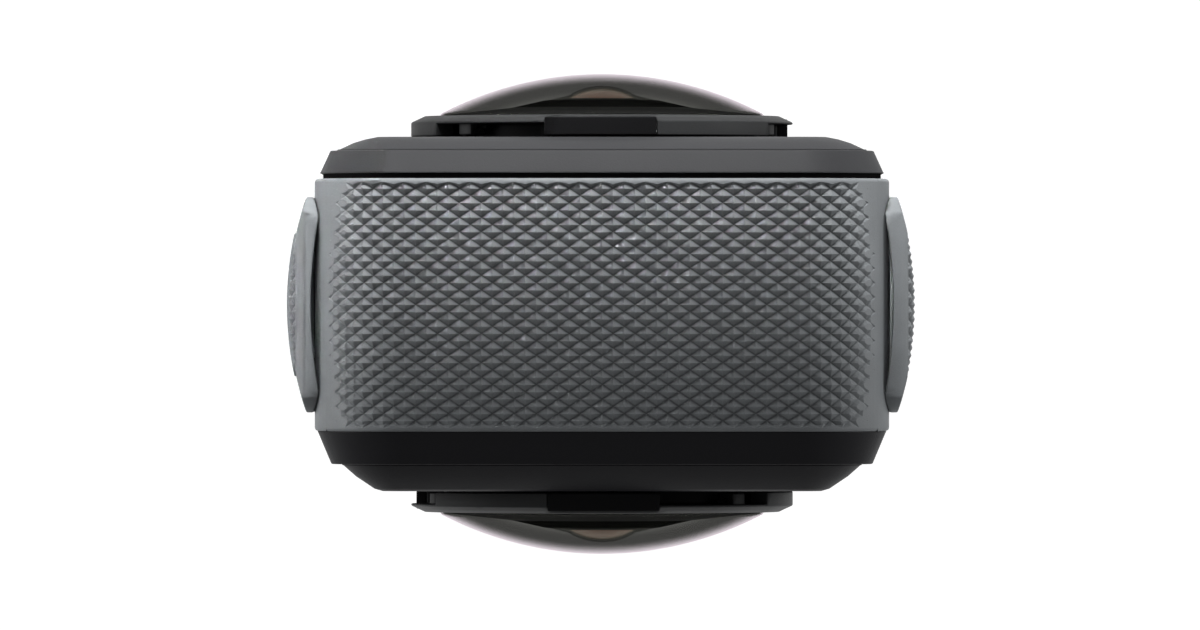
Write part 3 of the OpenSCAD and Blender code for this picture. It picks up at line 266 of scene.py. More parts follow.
class Value:
    """One number in a node tree. Arithmetic on it adds Math nodes."""

    def __init__(self, tree, socket):
        self.tree = tree
        self.socket = socket

    def __add__(self, other):
        return self.tree.math("ADD", self, other)

    def __radd__(self, other):
        return self.tree.math("ADD", other, self)

    def __sub__(self, other):
        return self.tree.math("SUBTRACT", self, other)

    def __rsub__(self, other):
        return self.tree.math("SUBTRACT", other, self)

    def __mul__(self, other):
        return self.tree.math("MULTIPLY", self, other)

    def __truediv__(self, other):
        return self.tree.math("DIVIDE", self, other)

    def __pow__(self, other):
        return self.tree.math("POWER", self, other)


class Tree:
    """A node tree being built."""

    def __init__(self, tree):
        self.tree = tree

    def make(self, kind, settings=None, inputs=None):
        """Adds a node: its settings first, then the values or links of its inputs."""
        node = self.tree.nodes.new(kind)
        for name, value in (settings or {}).items():
            setattr(node, name, value)
        for key, value in (inputs or {}).items():
            source = value.socket if isinstance(value, Value) else value
            if isinstance(source, bpy.types.NodeSocket):
                self.tree.links.new(source, node.inputs[key])
            else:
                node.inputs[key].default_value = source
        return node

    def value(self, kind, settings=None, inputs=None, output=0):
        """Adds a node and returns one of its outputs as a number."""
        return Value(self, self.make(kind, settings, inputs).outputs[output])

    def math(self, operation, *terms):
        """Adds a Math node."""
        return self.value("ShaderNodeMath", {"operation": operation}, dict(enumerate(terms)))

    def vector(self, x, y, z):
        """Adds a node that makes a vector of three numbers."""
        return self.make("ShaderNodeCombineXYZ", None, {"X": x, "Y": y, "Z": z}).outputs[0]

    def join(self, *parts):
        """Joins geometries in this order."""
        node = self.make("GeometryNodeJoinGeometry")
        for part in parts:
            self.tree.links.new(part, node.inputs[0])
        return node.outputs[0]


class Finish(Tree):
    """A material being built from procedural nodes in object coordinates."""

    def __init__(self, name):
        self.material = bpy.data.materials.new(name)
        self.material.use_nodes = True
        super().__init__(self.material.node_tree)
        self.tree.nodes.clear()
        self.place = self.make("ShaderNodeTexCoord").outputs["Object"]

    def stretched(self, scale):
        """The object coordinates, scaled along each axis."""
        node = self.make("ShaderNodeVectorMath", {"operation": "MULTIPLY"}, {0: self.place, 1: scale})
        return node.outputs[0]

    def lens_place(self):
        """How far a point lies from the lens axis, and where along it."""
        node = self.make("ShaderNodeSeparateXYZ", None, {0: self.place})
        across, along, up = (Value(self, socket) for socket in node.outputs)
        up = up - LENS_Z
        return (across * across + up * up) ** 0.5, along

    def facing(self):
        """0 where a face is seen straight on, 1 where it is seen edge on."""
        return self.value("ShaderNodeLayerWeight", None, {"Blend": 0.5}, "Facing")

    def noise(self, size, detail=2.0, place=None):
        """Soft noise with spots about size metres wide."""
        inputs = {"Vector": place or self.place, "Scale": 1.0 / size, "Detail": detail}
        return self.value("ShaderNodeTexNoise", None, inputs)

    def step(self, value, low, high):
        """Rises smoothly from 0 at low to 1 at high."""
        inputs = {0: value, 1: low, 2: high}
        return self.value("ShaderNodeMapRange", {"interpolation_type": "SMOOTHSTEP"}, inputs)

    def tint(self, colour, tone):
        """A colour made lighter or darker by a number."""
        node = self.make("ShaderNodeVectorMath", {"operation": "SCALE"}, {0: tuple(colour), "Scale": tone})
        return node.outputs[0]

    def bump(self, height, distance):
        """A normal from a height of 0 to 1."""
        return self.make("ShaderNodeBump", None, {"Height": height, "Distance": distance}).outputs[0]

    def blend(self, share, first, second):
        """Mixes two shaders."""
        return self.make("ShaderNodeMixShader", None, {0: share, 1: first, 2: second}).outputs[0]

    def mirror(self, colour, rough):
        """A plain mirror of one colour."""
        inputs = {"Color": solid(colour), "Roughness": rough}
        return self.make("ShaderNodeBsdfAnisotropic", None, inputs).outputs[0]

    def surface(self, inputs):
        """A Principled shader."""
        return self.make("ShaderNodeBsdfPrincipled", None, inputs).outputs[0]

    def close(self, shader):
        """Ends the material with this shader."""
        self.make("ShaderNodeOutputMaterial", None, {"Surface": shader})
        return self.material

    def paint(self, inputs):
        """Ends the material with a Principled shader."""
        return self.close(self.surface(inputs))


def solid(colour):
    """A colour with full alpha, as sockets take it."""
    return (*colour, 1.0)


def moulded(name, colour, rough, grain=0.00016, relief=0.000014, mottle=0.12, specular=0.5):
    """Moulded plastic or rubber: fine spark texture, soft mottling and uneven gloss."""
    f = Finish(name)
    fine = f.noise(grain, 1.0)
    broad = f.noise(0.006, 3.0)
    tone = 1.0 + (broad - 0.5) * mottle + (fine - 0.5) * (2.0 * mottle)
    return f.paint(
        {
            "Base Color": f.tint(colour, tone),
            "Roughness": rough + (fine - 0.5) * 0.16 + (broad - 0.5) * 0.12,
            "Specular IOR Level": specular,
            "Normal": f.bump(fine, relief),
        }
    )


def knurled(name, colour):
    """Grip rubber: painted shade darkens the valleys, and the tips are a little paler where they are rubbed.
    """
    f = Finish(name)
    pit = f.value("ShaderNodeAttribute", {"attribute_name": "pit"}, None, "Fac")
    fine = f.noise(0.00013, 1.0)
    broad = f.noise(0.005, 3.0)
    rubbed = f.step(pit, 0.3, 0.0) * f.step(broad, 0.35, 0.75)
    # Painted shade: the deepest part of each valley is darkened by up to 45 %; the rubbed tips and the grain
    # are the rubber's own tone.
    tone = 1.0 - f.step(pit, 0.55, 1.0) * 0.45 + rubbed * 0.12 + (fine - 0.5) * 0.2
    return f.paint(
        {
            "Base Color": f.tint(colour, tone),
            "Roughness": 0.6 + (fine - 0.5) * 0.15 - rubbed * 0.08,
            "Specular IOR Level": 0.2,
            "Normal": f.bump(fine, 0.000012),
        }
    )


def metal(name, colour, rough, brushed):
    """Bare metal with fine streaks along one axis."""
    f = Finish(name)
    streak = f.noise(0.0003, 2.0, f.stretched(brushed))
    smear = f.noise(0.004, 3.0)
    tone = 1.0 + (streak - 0.5) * 0.25 + (smear - 0.5) * 0.1
    return f.paint(
        {
            "Base Color": f.tint(colour, tone),
            "Metallic": 1.0,
            "Roughness": rough + (streak - 0.5) * 0.2 + (smear - 0.5) * 0.1,
            "Normal": f.bump(streak, 0.000004),
        }
    )


def board(name, colour):
    """Solder mask over fine square traces."""
    f = Finish(name)
    cells = f.make(
        "ShaderNodeTexVoronoi",
        {"distance": "CHEBYCHEV", "feature": "F1"},
        {"Vector": f.place, "Scale": 900.0, "Randomness": 0.6},
    )
    trace = f.step(Value(f, cells.outputs["Distance"]), 0.42, 0.5)
    grain = f.noise(0.0002, 1.0)
    return f.paint(
        {
            "Base Color": f.tint(colour, 0.8 + trace * 0.5 + grain * 0.2),
            "Roughness": 0.38 + (grain - 0.5) * 0.15,
            "Normal": f.bump(trace, 0.00001),
        }
    )


def dark_glass(name, colour):
    """Black glass with a faint smear in its gloss."""
    f = Finish(name)
    smear = f.noise(0.006, 4.0)
    return f.paint(
        {
            "Base Color": f.tint(colour, 0.9 + smear * 0.2),
            "Roughness": 0.04 + smear * 0.05,
            "Specular IOR Level": 0.12,
            "Coat Weight": 0.06 + smear * 0.1,
            "Coat Roughness": 0.03,
        }
    )


def clear_glass(name, blush, leaf, hollow, skin):
    """Coated glass, darker the flatter it is seen through; back faces are clear within hollow, below skin."""
    f = Finish(name)
    facing = f.facing()
    radius, along = f.lens_place()
    inside = f.value("ShaderNodeNewGeometry", None, None, "Backfacing")
    past_hollow = f.step(radius, hollow, hollow + 0.4 * MM)
    past_skin = f.step(f.math("ABSOLUTE", along), skin, skin + 0.1 * MM)
    outer = f.math("MAXIMUM", past_hollow, past_skin)
    smear = f.noise(0.009, 3.0)
    clear, smoky, dim = (
        f.make("ShaderNodeBsdfTransparent", None, {"Color": (tone, tone, tone * 0.97, 1.0)}).outputs[0]
        for tone in (0.96, 0.6, 0.075)
    )
    flat = f.step(facing, 0.3, 0.72) * (1.0 - inside * (1.0 - outer))
    body = f.blend(flat, clear, f.blend(inside, smoky, dim))
    leafy, blushing = (f.mirror(colour, 0.03) for colour in (leaf, blush))
    coat = f.blend(f.step(facing, 0.62, 0.9), leafy, blushing)
    sheen = f.step(facing, 0.45, 0.2) * 0.018 + f.step(facing, 0.45, 0.8) * 0.008 + smear * 0.004
    mirrored = f.step(facing, 0.755, 0.97) * 0.68 + sheen
    return f.close(f.blend(mirrored * (1.0 - inside), body, coat))


def lens_element(name, colour, edge, leaf):
    """The dark front element of a lens under its coloured coating, with a reddish ring of painted reflection
    in its colour.
    """
    f = Finish(name)
    facing = f.facing()
    radius = f.lens_place()[0]
    smear = f.noise(0.003, 2.0)
    # Painted reflection: a reddish ring in the element's base colour, about 2 to 4 mm from the axis, stands
    # in for the coating's reflections.
    ring = f.step(radius, 0.6 * MM, 2.2 * MM) * f.step(radius, 5.4 * MM, 3.8 * MM)
    body = f.surface(
        {
            "Base Color": f.tint(colour, 0.08 + ring * (0.8 + smear * 0.3)),
            "Roughness": 0.04,
            "Specular IOR Level": 0.3,
            "Coat Weight": 0.3,
            "Coat Roughness": 0.02,
        }
    )
    coat = f.blend(f.step(facing, 0.5, 0.85), f.mirror(leaf, 0.05), f.mirror(edge, 0.05))
    mirrored = f.step(facing, 0.3, 0.7) * 0.08 + f.step(facing, 0.72, 0.95) * 0.6
    return f.close(f.blend(mirrored, body, coat))


def finishes(colours, lens):
    """One procedural material for every slot of the record; the domes are clear within the black paint."""
    c = colours
    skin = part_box("rear_dome")[1].y - lens.dome_t / 2
    made = [
        moulded("frame_plastic", c.frame, 0.5),
        knurled("grip_rubber", c.grip),
        moulded("rear_plastic", c.rear, 0.58, specular=0.1),
        moulded("front_plastic", c.front, 0.5, specular=0.05),
        moulded("ring_plastic", c.ring, 0.5, specular=0.07),
        moulded("dark_plastic", c.dark, 0.5, specular=0.02),
        moulded("seal_rubber", c.seal, 0.8, specular=0.0),
        clear_glass("dome_glass", c.blush, c.leaf, lens.clear_r, skin),
        lens_element("lens_glass", c.element, c.amber, c.leaf),
        dark_glass("screen_glass", (0.006, 0.006, 0.007)),
        dark_glass("screen_panel", (0.02, 0.021, 0.026)),
        metal("steel", c.steel, 0.3, (1.0, 1.0, 0.06)),
        metal("light_metal", c.alloy, 0.38, (0.06, 1.0, 1.0)),
        board("circuit_board", c.board),
        moulded("battery_wrap", c.wrap, 0.4),
        metal("contact_metal", c.brass, 0.26, (1.0, 0.06, 1.0)),
        moulded("light_pipe", c.glow, 0.2, mottle=0.05),
    ]
    return {material.name: material for material in made}


def linked(name, mesh):
    """A new object with this mesh, at the origin of the scene."""
    piece = bpy.data.objects.new(name, mesh)
    bpy.context.scene.collection.objects.link(piece)
    return piece


def bake(piece):
    """Turns a piece's modifiers into a plain mesh."""
    depsgraph = bpy.context.evaluated_depsgraph_get()
    mesh = bpy.data.meshes.new_from_object(
        piece.evaluated_get(depsgraph), preserve_all_data_layers=True, depsgraph=depsgraph
    )
    piece.modifiers.clear()
    old = piece.data
    piece.data = mesh
    bpy.data.meshes.remove(old)
    if not mesh.polygons:
        raise RuntimeError(f"{piece.name} came out empty")


def smooth(piece, angle=SMOOTH_ANGLE):
    """Shades a piece smooth but for edges sharper than the angle."""
    piece.data.shade_smooth()
    piece.data.set_sharp_from_angle(angle=angle)
    even = piece.modifiers.new("even", "WEIGHTED_NORMAL")
    even.keep_sharp = True
    bake(piece)


def own(piece, slot, body, *nodes):
    """Gives a piece its finish and its body, and hides the CAD nodes it stands for."""
    piece.data.materials.clear()
    piece.data.materials.append(bpy.data.materials[slot])
    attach(piece, body)
    if nodes:
        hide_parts(*nodes)


@contextmanager
def editing(mesh):
    """Opens a mesh for editing and writes it back at the end."""
    bm = bmesh.new()
    bm.from_mesh(mesh)
    yield bm
    bm.to_mesh(mesh)
    bm.free()


def complete(piece, slot, body, *nodes):
    """Smooths a piece and makes it its body's own."""
    smooth(piece)
    own(piece, slot, body, *nodes)


def merged_copy(node):
    """A copy of a CAD node's mesh with its loose triangles joined and its flat faces whole."""
    mesh = frame["nodes"][node].data.copy()
    with editing(mesh) as bm:
        bmesh.ops.remove_doubles(bm, verts=bm.verts, dist=MERGE)
        bmesh.ops.dissolve_limit(bm, angle_limit=FLAT_ANGLE, verts=bm.verts, edges=bm.edges)
    return mesh


def soften(mesh, width, chosen):
    """Rounds the sharp edges whose middle is chosen."""
    with editing(mesh) as bm:
        sharp = [e for e in bm.edges if e.is_manifold and e.calc_face_angle() > SOFT_ANGLE]
        sharp = [e for e in sharp if chosen((e.verts[0].co + e.verts[1].co) / 2)]
        bmesh.ops.bevel(
            bm, geom=sharp, offset=width, offset_type="OFFSET", segments=2, profile=0.5, affect="EDGES"
        )


def dressed(node, edge, cutters=(), chosen=lambda middle: True):
    """A copy of a CAD node, cut by the cutters and with its chosen edges soft, that stands for the node."""
    piece = linked(node + "_look", merged_copy(node))
    for cutter in cutters:
        cut = piece.modifiers.new(cutter.name, "BOOLEAN")
        cut.operation = "DIFFERENCE"
        cut.solver = "EXACT"
        cut.object = cutter
    bake(piece)
    for cutter in cutters:
        bpy.data.objects.remove(cutter)
    if edge:
        soften(piece.data, edge, chosen)
    complete(piece, SLOTS[node], BODIES[node], node)
    return piece


def mesh_from(name, points, faces):
    """A mesh from points and faces with its normals turned outwards."""
    mesh = bpy.data.meshes.new(name)
    mesh.from_pydata([tuple(p) for p in points], [], faces)
    with editing(mesh) as bm:
        bmesh.ops.remove_doubles(bm, verts=bm.verts, dist=MERGE)
        bmesh.ops.delete(bm, geom=[e for e in bm.edges if e.is_wire], context="EDGES")
        bmesh.ops.recalc_face_normals(bm, faces=bm.faces)
    return mesh


def loop_faces(rows, count):
    """The faces between closed rows of count points each, the last row meeting the first."""
    faces = []
    for i in range(rows):
        below, above = i * count, (i + 1) % rows * count
        for j in range(count):
            k = (j + 1) % count
            faces.append((below + j, below + k, above + k, above + j))
    return faces


def lathe(name, profile, side, count=144):
    """A closed profile of (radius, distance along the lens axis) turned about a lens's axis."""
    turns = np.arange(count) * (2 * math.pi / count)
    points = [
        (r * math.sin(a), side * y, LENS_Z + r * math.cos(a)) for r, y in profile for a in turns
    ]
    return linked(name, mesh_from(name, points, loop_faces(len(profile), count)))


def arc(radius, centre, start, end, count):
    """Points of a sphere's profile between two radii from the axis."""
    return [
        (r, centre + math.sqrt(radius * radius - r * r)) for r in np.linspace(start, end, count)
    ]


class Region:
    """A flat patch (across, along) bounded by straight cuts, with rounded rectangles left out."""

    def __init__(self, low, high, corners=(), holes=()):
        self.low = low
        self.high = high
        self.corners = corners
        self.holes = holes
        self.lines = []
        self.cuts = [(low, (1, 0)), (low, (0, 1)), (high, (-1, 0)), (high, (0, -1)), *corners]

    def to_cuts(self, s, v):
        """How far inside the cuts each point lies."""
        far = [(s - p[0]) * n[0] + (v - p[1]) * n[1] for p, n in self.cuts]
        return np.min(far, axis=0)

    def to_holes(self, s, v):
        """How far outside the holes each point lies."""
        far = np.full(len(s), np.inf)
        for cs, cv, half_s, half_v, r in self.holes:
            ds = np.abs(s - cs) - half_s + r
            dv = np.abs(v - cv) - half_v + r
            beyond = np.hypot(np.maximum(ds, 0), np.maximum(dv, 0))
            within = np.minimum(np.maximum(ds, dv), 0)
            far = np.minimum(far, beyond + within - r)
        return far

    def inset(self, by):
        """The same patch with its cuts moved inwards."""
        low = (self.low[0] + by, self.low[1] + by)
        high = (self.high[0] - by, self.high[1] - by)
        corners = [((p[0] + n[0] * by, p[1] + n[1] * by), n) for p, n in self.corners]
        return Region(low, high, corners, self.holes)

    def trim(self, bm):
        """Cuts a flat mesh to the patch and adds edges along its lines."""
        for p, n in self.cuts:
            everything = bm.verts[:] + bm.edges[:] + bm.faces[:]
            bmesh.ops.bisect_plane(
                bm, geom=everything, dist=MERGE, plane_co=(*p, 0), plane_no=(*n, 0), clear_inner=True
            )
        for v in self.lines:
            everything = bm.verts[:] + bm.edges[:] + bm.faces[:]
            bmesh.ops.bisect_plane(
                bm, geom=everything, dist=MERGE, plane_co=(0, v, 0), plane_no=(0, 1, 0)
            )


def band_wrap(points, sizes):
    """Bends flat points (across, along, height) over the top of the band."""
    s, v, h = points.T
    r = sizes.corner_r
    flat = BAND[1].x - r
    a = np.clip(np.abs(s) - flat, 0, None) / r
    x = np.sign(s) * (np.minimum(np.abs(s), flat) + (r + h) * np.sin(a))
    z = BAND[1].z - r + (r + h) * np.cos(a)
    return np.column_stack((x, v, z))


def pad_wrap(points, sizes, side, foot):
    """Bends flat points (up, along, height) over the right pad (side 1) or the left one (side -1)."""
    s, v, h = points.T
    out = PAD[1].x
    aside = v - PAD_MID
    flat = np.clip(s, foot + sizes.end_r, PAD[1].z - sizes.end_r)
    b = np.clip((s - flat) / sizes.end_r, -QUARTER, QUARTER)
    end = out - sizes.end_r * (1 - np.cos(b))
    bow = out - sizes.bow_r + np.sqrt(sizes.bow_r**2 - aside**2)
    share = np.clip((bow - end) / PAD_BLEND + 0.5, 0, 1) * (b != 0)
    lean = np.arcsin(aside / sizes.bow_r)
    normal = np.column_stack(
        ((1 - share) * np.cos(lean) + share * np.cos(b), (1 - share) * np.sin(lean), share * np.sin(b))
    )
    normal /= np.linalg.norm(normal, axis=1)[:, None]
    place = np.column_stack((np.minimum(end, bow), v, flat + sizes.end_r * np.sin(b)))
    place += normal * h[:, None]
    place[:, 0] *= side
    return place


def group(name, inputs):
    """A Geometry Nodes tree with these named inputs and one geometry output."""
    tree = bpy.data.node_groups.new(name, "GeometryNodeTree")
    tree.interface.new_socket("Geometry", in_out="OUTPUT", socket_type="NodeSocketGeometry")
    for label, kind in inputs:
        tree.interface.new_socket(label, in_out="INPUT", socket_type="NodeSocket" + kind)
    return Tree(tree)


def close_group(graph, geometry, material):
    """Realizes the instances, sets the material and ends the tree."""
    real = graph.make("GeometryNodeRealizeInstances", None, {"Geometry": geometry})
    inputs = {"Geometry": real.outputs[0], "Material": material}
    painted = graph.make("GeometryNodeSetMaterial", None, inputs)
    graph.make("NodeGroupOutput", None, {"Geometry": painted.outputs[0]})


def grown(name, graph, values):
    """A piece made by a Geometry Nodes tree with these input values, as a plain mesh."""
    piece = linked(name, bpy.data.meshes.new(name))
    modifier = piece.modifiers.new(name, "NODES")
    modifier.node_group = graph.tree
    for item in graph.tree.interface.items_tree:
        if item.in_out == "INPUT":
            modifier[item.identifier] = values[item.name]
    bake(piece)
    return piece


def knurl_graph():
    """Blunt pyramids on two grids, the second half a pitch further; knurl_sheet sets the final heights."""
    graph = group(
        "knurl",
        [
            ("Columns", "Int"),
            ("Rows", "Int"),
            ("Pitch S", "Float"),
            ("Pitch V", "Float"),
            ("Depth", "Float"),
            ("Tip", "Float"),
            ("Material", "Material"),
        ],
    )
    given = graph.make("NodeGroupInput").outputs
    columns, rows, pitch_s, pitch_v, depth, tip = (Value(graph, given[i]) for i in range(6))
    grid = graph.make(
        "GeometryNodeMeshGrid",
        None,
        {
            "Size X": columns * pitch_s,
            "Size Y": rows * pitch_v,
            "Vertices X": columns + 1,
            "Vertices Y": rows + 1,
        },
    ).outputs["Mesh"]
    half = graph.vector(pitch_s * 0.5, pitch_v * 0.5, 0.0)
    shifted = graph.make("GeometryNodeTransform", None, {"Geometry": grid, "Translation": half})

    def cone(top, bottom, height):
        inputs = {"Vertices": 4, "Radius Top": top, "Radius Bottom": bottom, "Depth": height}
        return graph.make("GeometryNodeMeshCone", {"fill_type": "NONE"}, inputs).outputs["Mesh"]

    flank = cone(tip, 1.0, FLANK)
    cap = {"Geometry": cone(0.0, tip, 1.0 - FLANK), "Translation": (0.0, 0.0, FLANK)}
    sides = graph.join(flank, graph.make("GeometryNodeTransform", None, cap).outputs[0])
    pyramid = graph.make("GeometryNodeSubdivideMesh", None, {"Mesh": sides, "Level": 1})
    placed = graph.make(
        "GeometryNodeInstanceOnPoints",
        None,
        {
            "Points": graph.join(grid, shifted.outputs[0]),
            "Instance": pyramid.outputs[0],
            "Scale": graph.vector(pitch_s * 0.5, pitch_v * 0.5, depth),
        },
    )
    close_group(graph, placed.outputs[0], given["Material"])
    return graph


def bend(bm, wrap):
    """Wraps a flat mesh and turns its faces to one side, over if the volume inside comes out negative."""
    for v, p in zip(bm.verts, wrap(co_array(bm))):
        v.co = p
    bmesh.ops.recalc_face_normals(bm, faces=bm.faces)
    if bm.calc_volume(signed=True) < 0:
        bmesh.ops.reverse_faces(bm, faces=bm.faces)


def set_height(geometry, height):
    """Moves the points among some new geometry to one height."""
    for v in geometry:
        if isinstance(v, bmesh.types.BMVert):
            v.co.z = height


def co_array(bm):
    """The points of a mesh being edited."""
    return np.array([v.co[:] for v in bm.verts])


def lattice_pits(points, middle, run, sizes):
    """How deep each point lies: 0 on a tip, 1 in a diamond's corners; a low run lifts the grooves between."""
    steps = []
    for axis, pitch in enumerate((sizes.pitch_s, sizes.pitch_v)):
        steps.append((points[:, axis] - middle[axis]) / (pitch / 2))
    whole = [np.round(step / 2) * 2 for step in steps]
    odd = [np.floor(step / 2) * 2 + 1 for step in steps]
    ways = [
        [np.abs(step - centre) for step, centre in zip(steps, centres)] for centres in (whole, odd)
    ]
    near = ways[0][0] + ways[0][1] <= ways[1][0] + ways[1][1]
    u, w = (np.where(near, a, b) for a, b in zip(*ways))
    saddle = sizes.saddle + (BORDER_SADDLE - sizes.saddle) * (1 - run) ** SADDLE_RISE
    slope = (1 - saddle) * (u + w) + saddle * np.abs(u - w)
    return np.clip((slope - sizes.tip) / (1 - sizes.tip), 0, 1)


def level_off(bm, layer):
    """Cuts faces along the line on which the values of a layer change their sign."""
    fresh = []
    for edge in bm.edges[:]:
        a, b = (v[layer] for v in edge.verts)
        if a * b < 0:
            v = bmesh.utils.edge_split(edge, edge.verts[0], a / (a - b))[1]
            v[layer] = 0.0
            fresh.append(v)
    if fresh:
        bmesh.ops.connect_verts(bm, verts=fresh)


def knurl_sheet(name, graph, region, middle, depth, run_out, wrap, sizes, body):
    """A knurled sheet over the patch, with a tip of its lattice at the middle; run_out flattens borders."""
    wide = max(region.high[0] - middle[0], middle[0] - region.low[0])
    long = max(region.high[1] - middle[1], middle[1] - region.low[1])
    values = {
        "Columns": 2 * math.ceil(wide / sizes.pitch_s) + 2,
        "Rows": 2 * math.ceil(long / sizes.pitch_v) + 2,
        "Pitch S": sizes.pitch_s,
        "Pitch V": sizes.pitch_v,
        "Depth": depth,
        "Tip": sizes.tip,
        "Material": bpy.data.materials["grip_rubber"],
    }
    sheet = grown(name, graph, values)
    with editing(sheet.data) as bm:
        bmesh.ops.translate(bm, verts=bm.verts, vec=(*middle, 0))
        bmesh.ops.remove_doubles(bm, verts=bm.verts, dist=MERGE)
        region.trim(bm)
        if region.holes:
            centres = np.array([f.calc_center_median()[:] for f in bm.faces])
            hidden = region.to_holes(centres[:, 0], centres[:, 1]) < -COLLAR_LAP
            bmesh.ops.delete(bm, geom=[f for f, gone in zip(bm.faces, hidden) if gone], context="FACES")
        layer = bm.verts.layers.float.new("pit")
        co = co_array(bm)
        run = 1 - (1 - np.clip(run_out(co[:, 0], co[:, 1]), 0, 1)) ** RUN_RISE
        pits = lattice_pits(co, middle, run, sizes) - 1 + run
        for v, pit in zip(bm.verts, pits):
            v[layer] = pit
        level_off(bm, layer)
        for v in bm.verts:
            v[layer] = max(v[layer], 0.0)
            v.co.z = -v[layer] * depth
        border = [e for e in bm.edges if e.is_boundary]
        set_height(bmesh.ops.extrude_edge_only(bm, edges=border)["geom"], -depth - SKIRT)
        bend(bm, wrap)
    sheet.data.shade_flat()
    own(sheet, "grip_rubber", body)


def recess(name, region, wrap, depth):
    """The room for a knurled sheet, as a solid to cut away."""
    mesh = bpy.data.meshes.new(name)
    wide = region.high[0] - region.low[0]
    long = region.high[1] - region.low[1]
    with editing(mesh) as bm:
        bmesh.ops.create_grid(bm, x_segments=60, y_segments=30, size=0.5)
        for v in bm.verts:
            v.co.x = region.low[0] + (v.co.x + 0.5) * wide
            v.co.y = region.low[1] + (v.co.y + 0.5) * long
            v.co.z = -depth - RECESS_ROOM
        for corner in region.corners:
            Region(region.low, region.high, [corner]).trim(bm)
        set_height(bmesh.ops.extrude_face_region(bm, geom=bm.faces[:])["geom"], OVERSHOOT)
        bend(bm, wrap)
    return linked(name, mesh)


def hole_outline(hole, quarter_points=13, reach=0.5 * MM):
    """Points and outward normals round a rounded rectangle, its sides split into steps of about reach."""
    s, v, half_s, half_v, r = hole
    points = []
    normals = []
    for turn in range(4):
        lean = (turn + 0.5) * QUARTER
        centre_s = s + math.copysign(half_s - r, math.cos(lean))
        centre_v = v + math.copysign(half_v - r, math.sin(lean))
        for a in np.linspace(turn * QUARTER, (turn + 1) * QUARTER, quarter_points):
            normals.append((math.cos(a), math.sin(a)))
            points.append((centre_s + r * math.cos(a), centre_v + r * math.sin(a)))
    points = np.array(points)
    dense = []
    for i in range(len(points)):
        j = (i + 1) % len(points)
        steps = max(int(np.linalg.norm(points[j] - points[i]) / reach), 1)
        for t in np.arange(steps) / steps:
            dense.append((*(points[i] * (1 - t) + points[j] * t), *normals[i]))
    dense = np.array(dense)
    return dense[:, :2], dense[:, 2:]


def collar(name, hole, wrap, sizes, body):
    """A smooth flat rim round a hole in a knurled face."""
    w = sizes.collar
    floor = -sizes.pad_depth - SKIRT
    profile = [
        (COLLAR_PLAY, floor),
        (COLLAR_PLAY, -COLLAR_EDGE),
        (COLLAR_EDGE, 0),
        (w - 2 * COLLAR_EDGE, 0),
        (w, -2 * COLLAR_EDGE),
        (w, floor),
    ]
    points, normals = hole_outline(hole)
    rows = [np.column_stack((points + normals * out, np.full(len(points), h))) for out, h in profile]
    faces = loop_faces(len(rows), len(points))
    complete(linked(name, mesh_from(name, wrap(np.concatenate(rows)), faces)), "grip_rubber", body)


def prism(name, outline, low, high, axis):
    """A straight prism from a flat outline, between two places along an axis (0 X, 1 Y, 2 Z)."""
    ends = [np.insert(np.array(outline, float), axis, place, axis=1) for place in (low, high)]
    count = len(outline)
    faces = [tuple(range(count)), tuple(range(count, 2 * count))]
    faces += [(i, (i + 1) % count, count + (i + 1) % count, count + i) for i in range(count)]
    return linked(name, mesh_from(name, np.concatenate(ends), faces))


def pad_groove(name, sizes, side):
    """The sickle of room behind a pad's top edge, as a solid to cut away."""
    long = PAD_HALF + OVERSHOOT
    aside = np.linspace(-long, long, 41)
    curve = GROOVE_X + GROOVE_BOW * np.clip(1 - (aside / PAD_HALF) ** 2, 0, None)
    outline = [(side * x, PAD_MID + a) for x, a in zip(curve, aside)]
    outline += [(side * GROOVE_BACK_X, PAD_MID + long), (side * GROOVE_BACK_X, PAD_MID - long)]
    return prism(name, outline, PAD[1].z - sizes.groove, PAD[1].z + OVERSHOOT, 2)


def pad_region(sizes, foot, holes):
    """The knurled patch of a pad (up, along) with its corners cut, less its holes and their collars."""
    half = PAD_HALF - sizes.pad_rim
    turn = sizes.end_r * (QUARTER * PAD_TURN - 1)
    low = (foot - turn, PAD_MID - half)
    high = (PAD[1].z + turn, PAD_MID + half)
    corners = [
        ((end, PAD_MID + sign * (half - PAD_SLANT)), (-way * SLANT_NORMAL[0], -sign * SLANT_NORMAL[1]))
        for sign in (1, -1)
        for end, way in ((high[0], 1), (low[0], -1))
    ]
    w = sizes.collar
    widened = [(s, v, half_s + w, half_v + w, r + w) for s, v, half_s, half_v, r in holes]
    return Region(low, high, corners, widened)


def node_hole(node, grow):
    """A CAD node's outline on a pad (up, along) as a rounded rectangle."""
    low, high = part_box(node)
    half_s = (high.z - low.z) / 2 + grow
    half_v = (high.y - low.y) / 2 + grow
    return (low.z + high.z) / 2, (low.y + high.y) / 2, half_s, half_v, min(half_s, half_v)


class Step:
    """What the operators share."""

    bl_options = {"REGISTER", "UNDO"}


class TWOLENS_OT_finishes(Step, Operator):
    """Makes the finishes and gives every CAD node the one of its slot"""

    bl_idname = "twolens.finishes"
    bl_label = "Finishes"

    def execute(self, context):
        for packed in bpy.data.materials:
            packed.name = "packed_" + packed.name
        made = finishes(context.scene.twolens_colours, context.scene.twolens_lens)
        for node, piece in frame["nodes"].items():
            piece.data.materials.clear()
            piece.data.materials.append(made[SLOTS[node]])
        return {"FINISHED"}


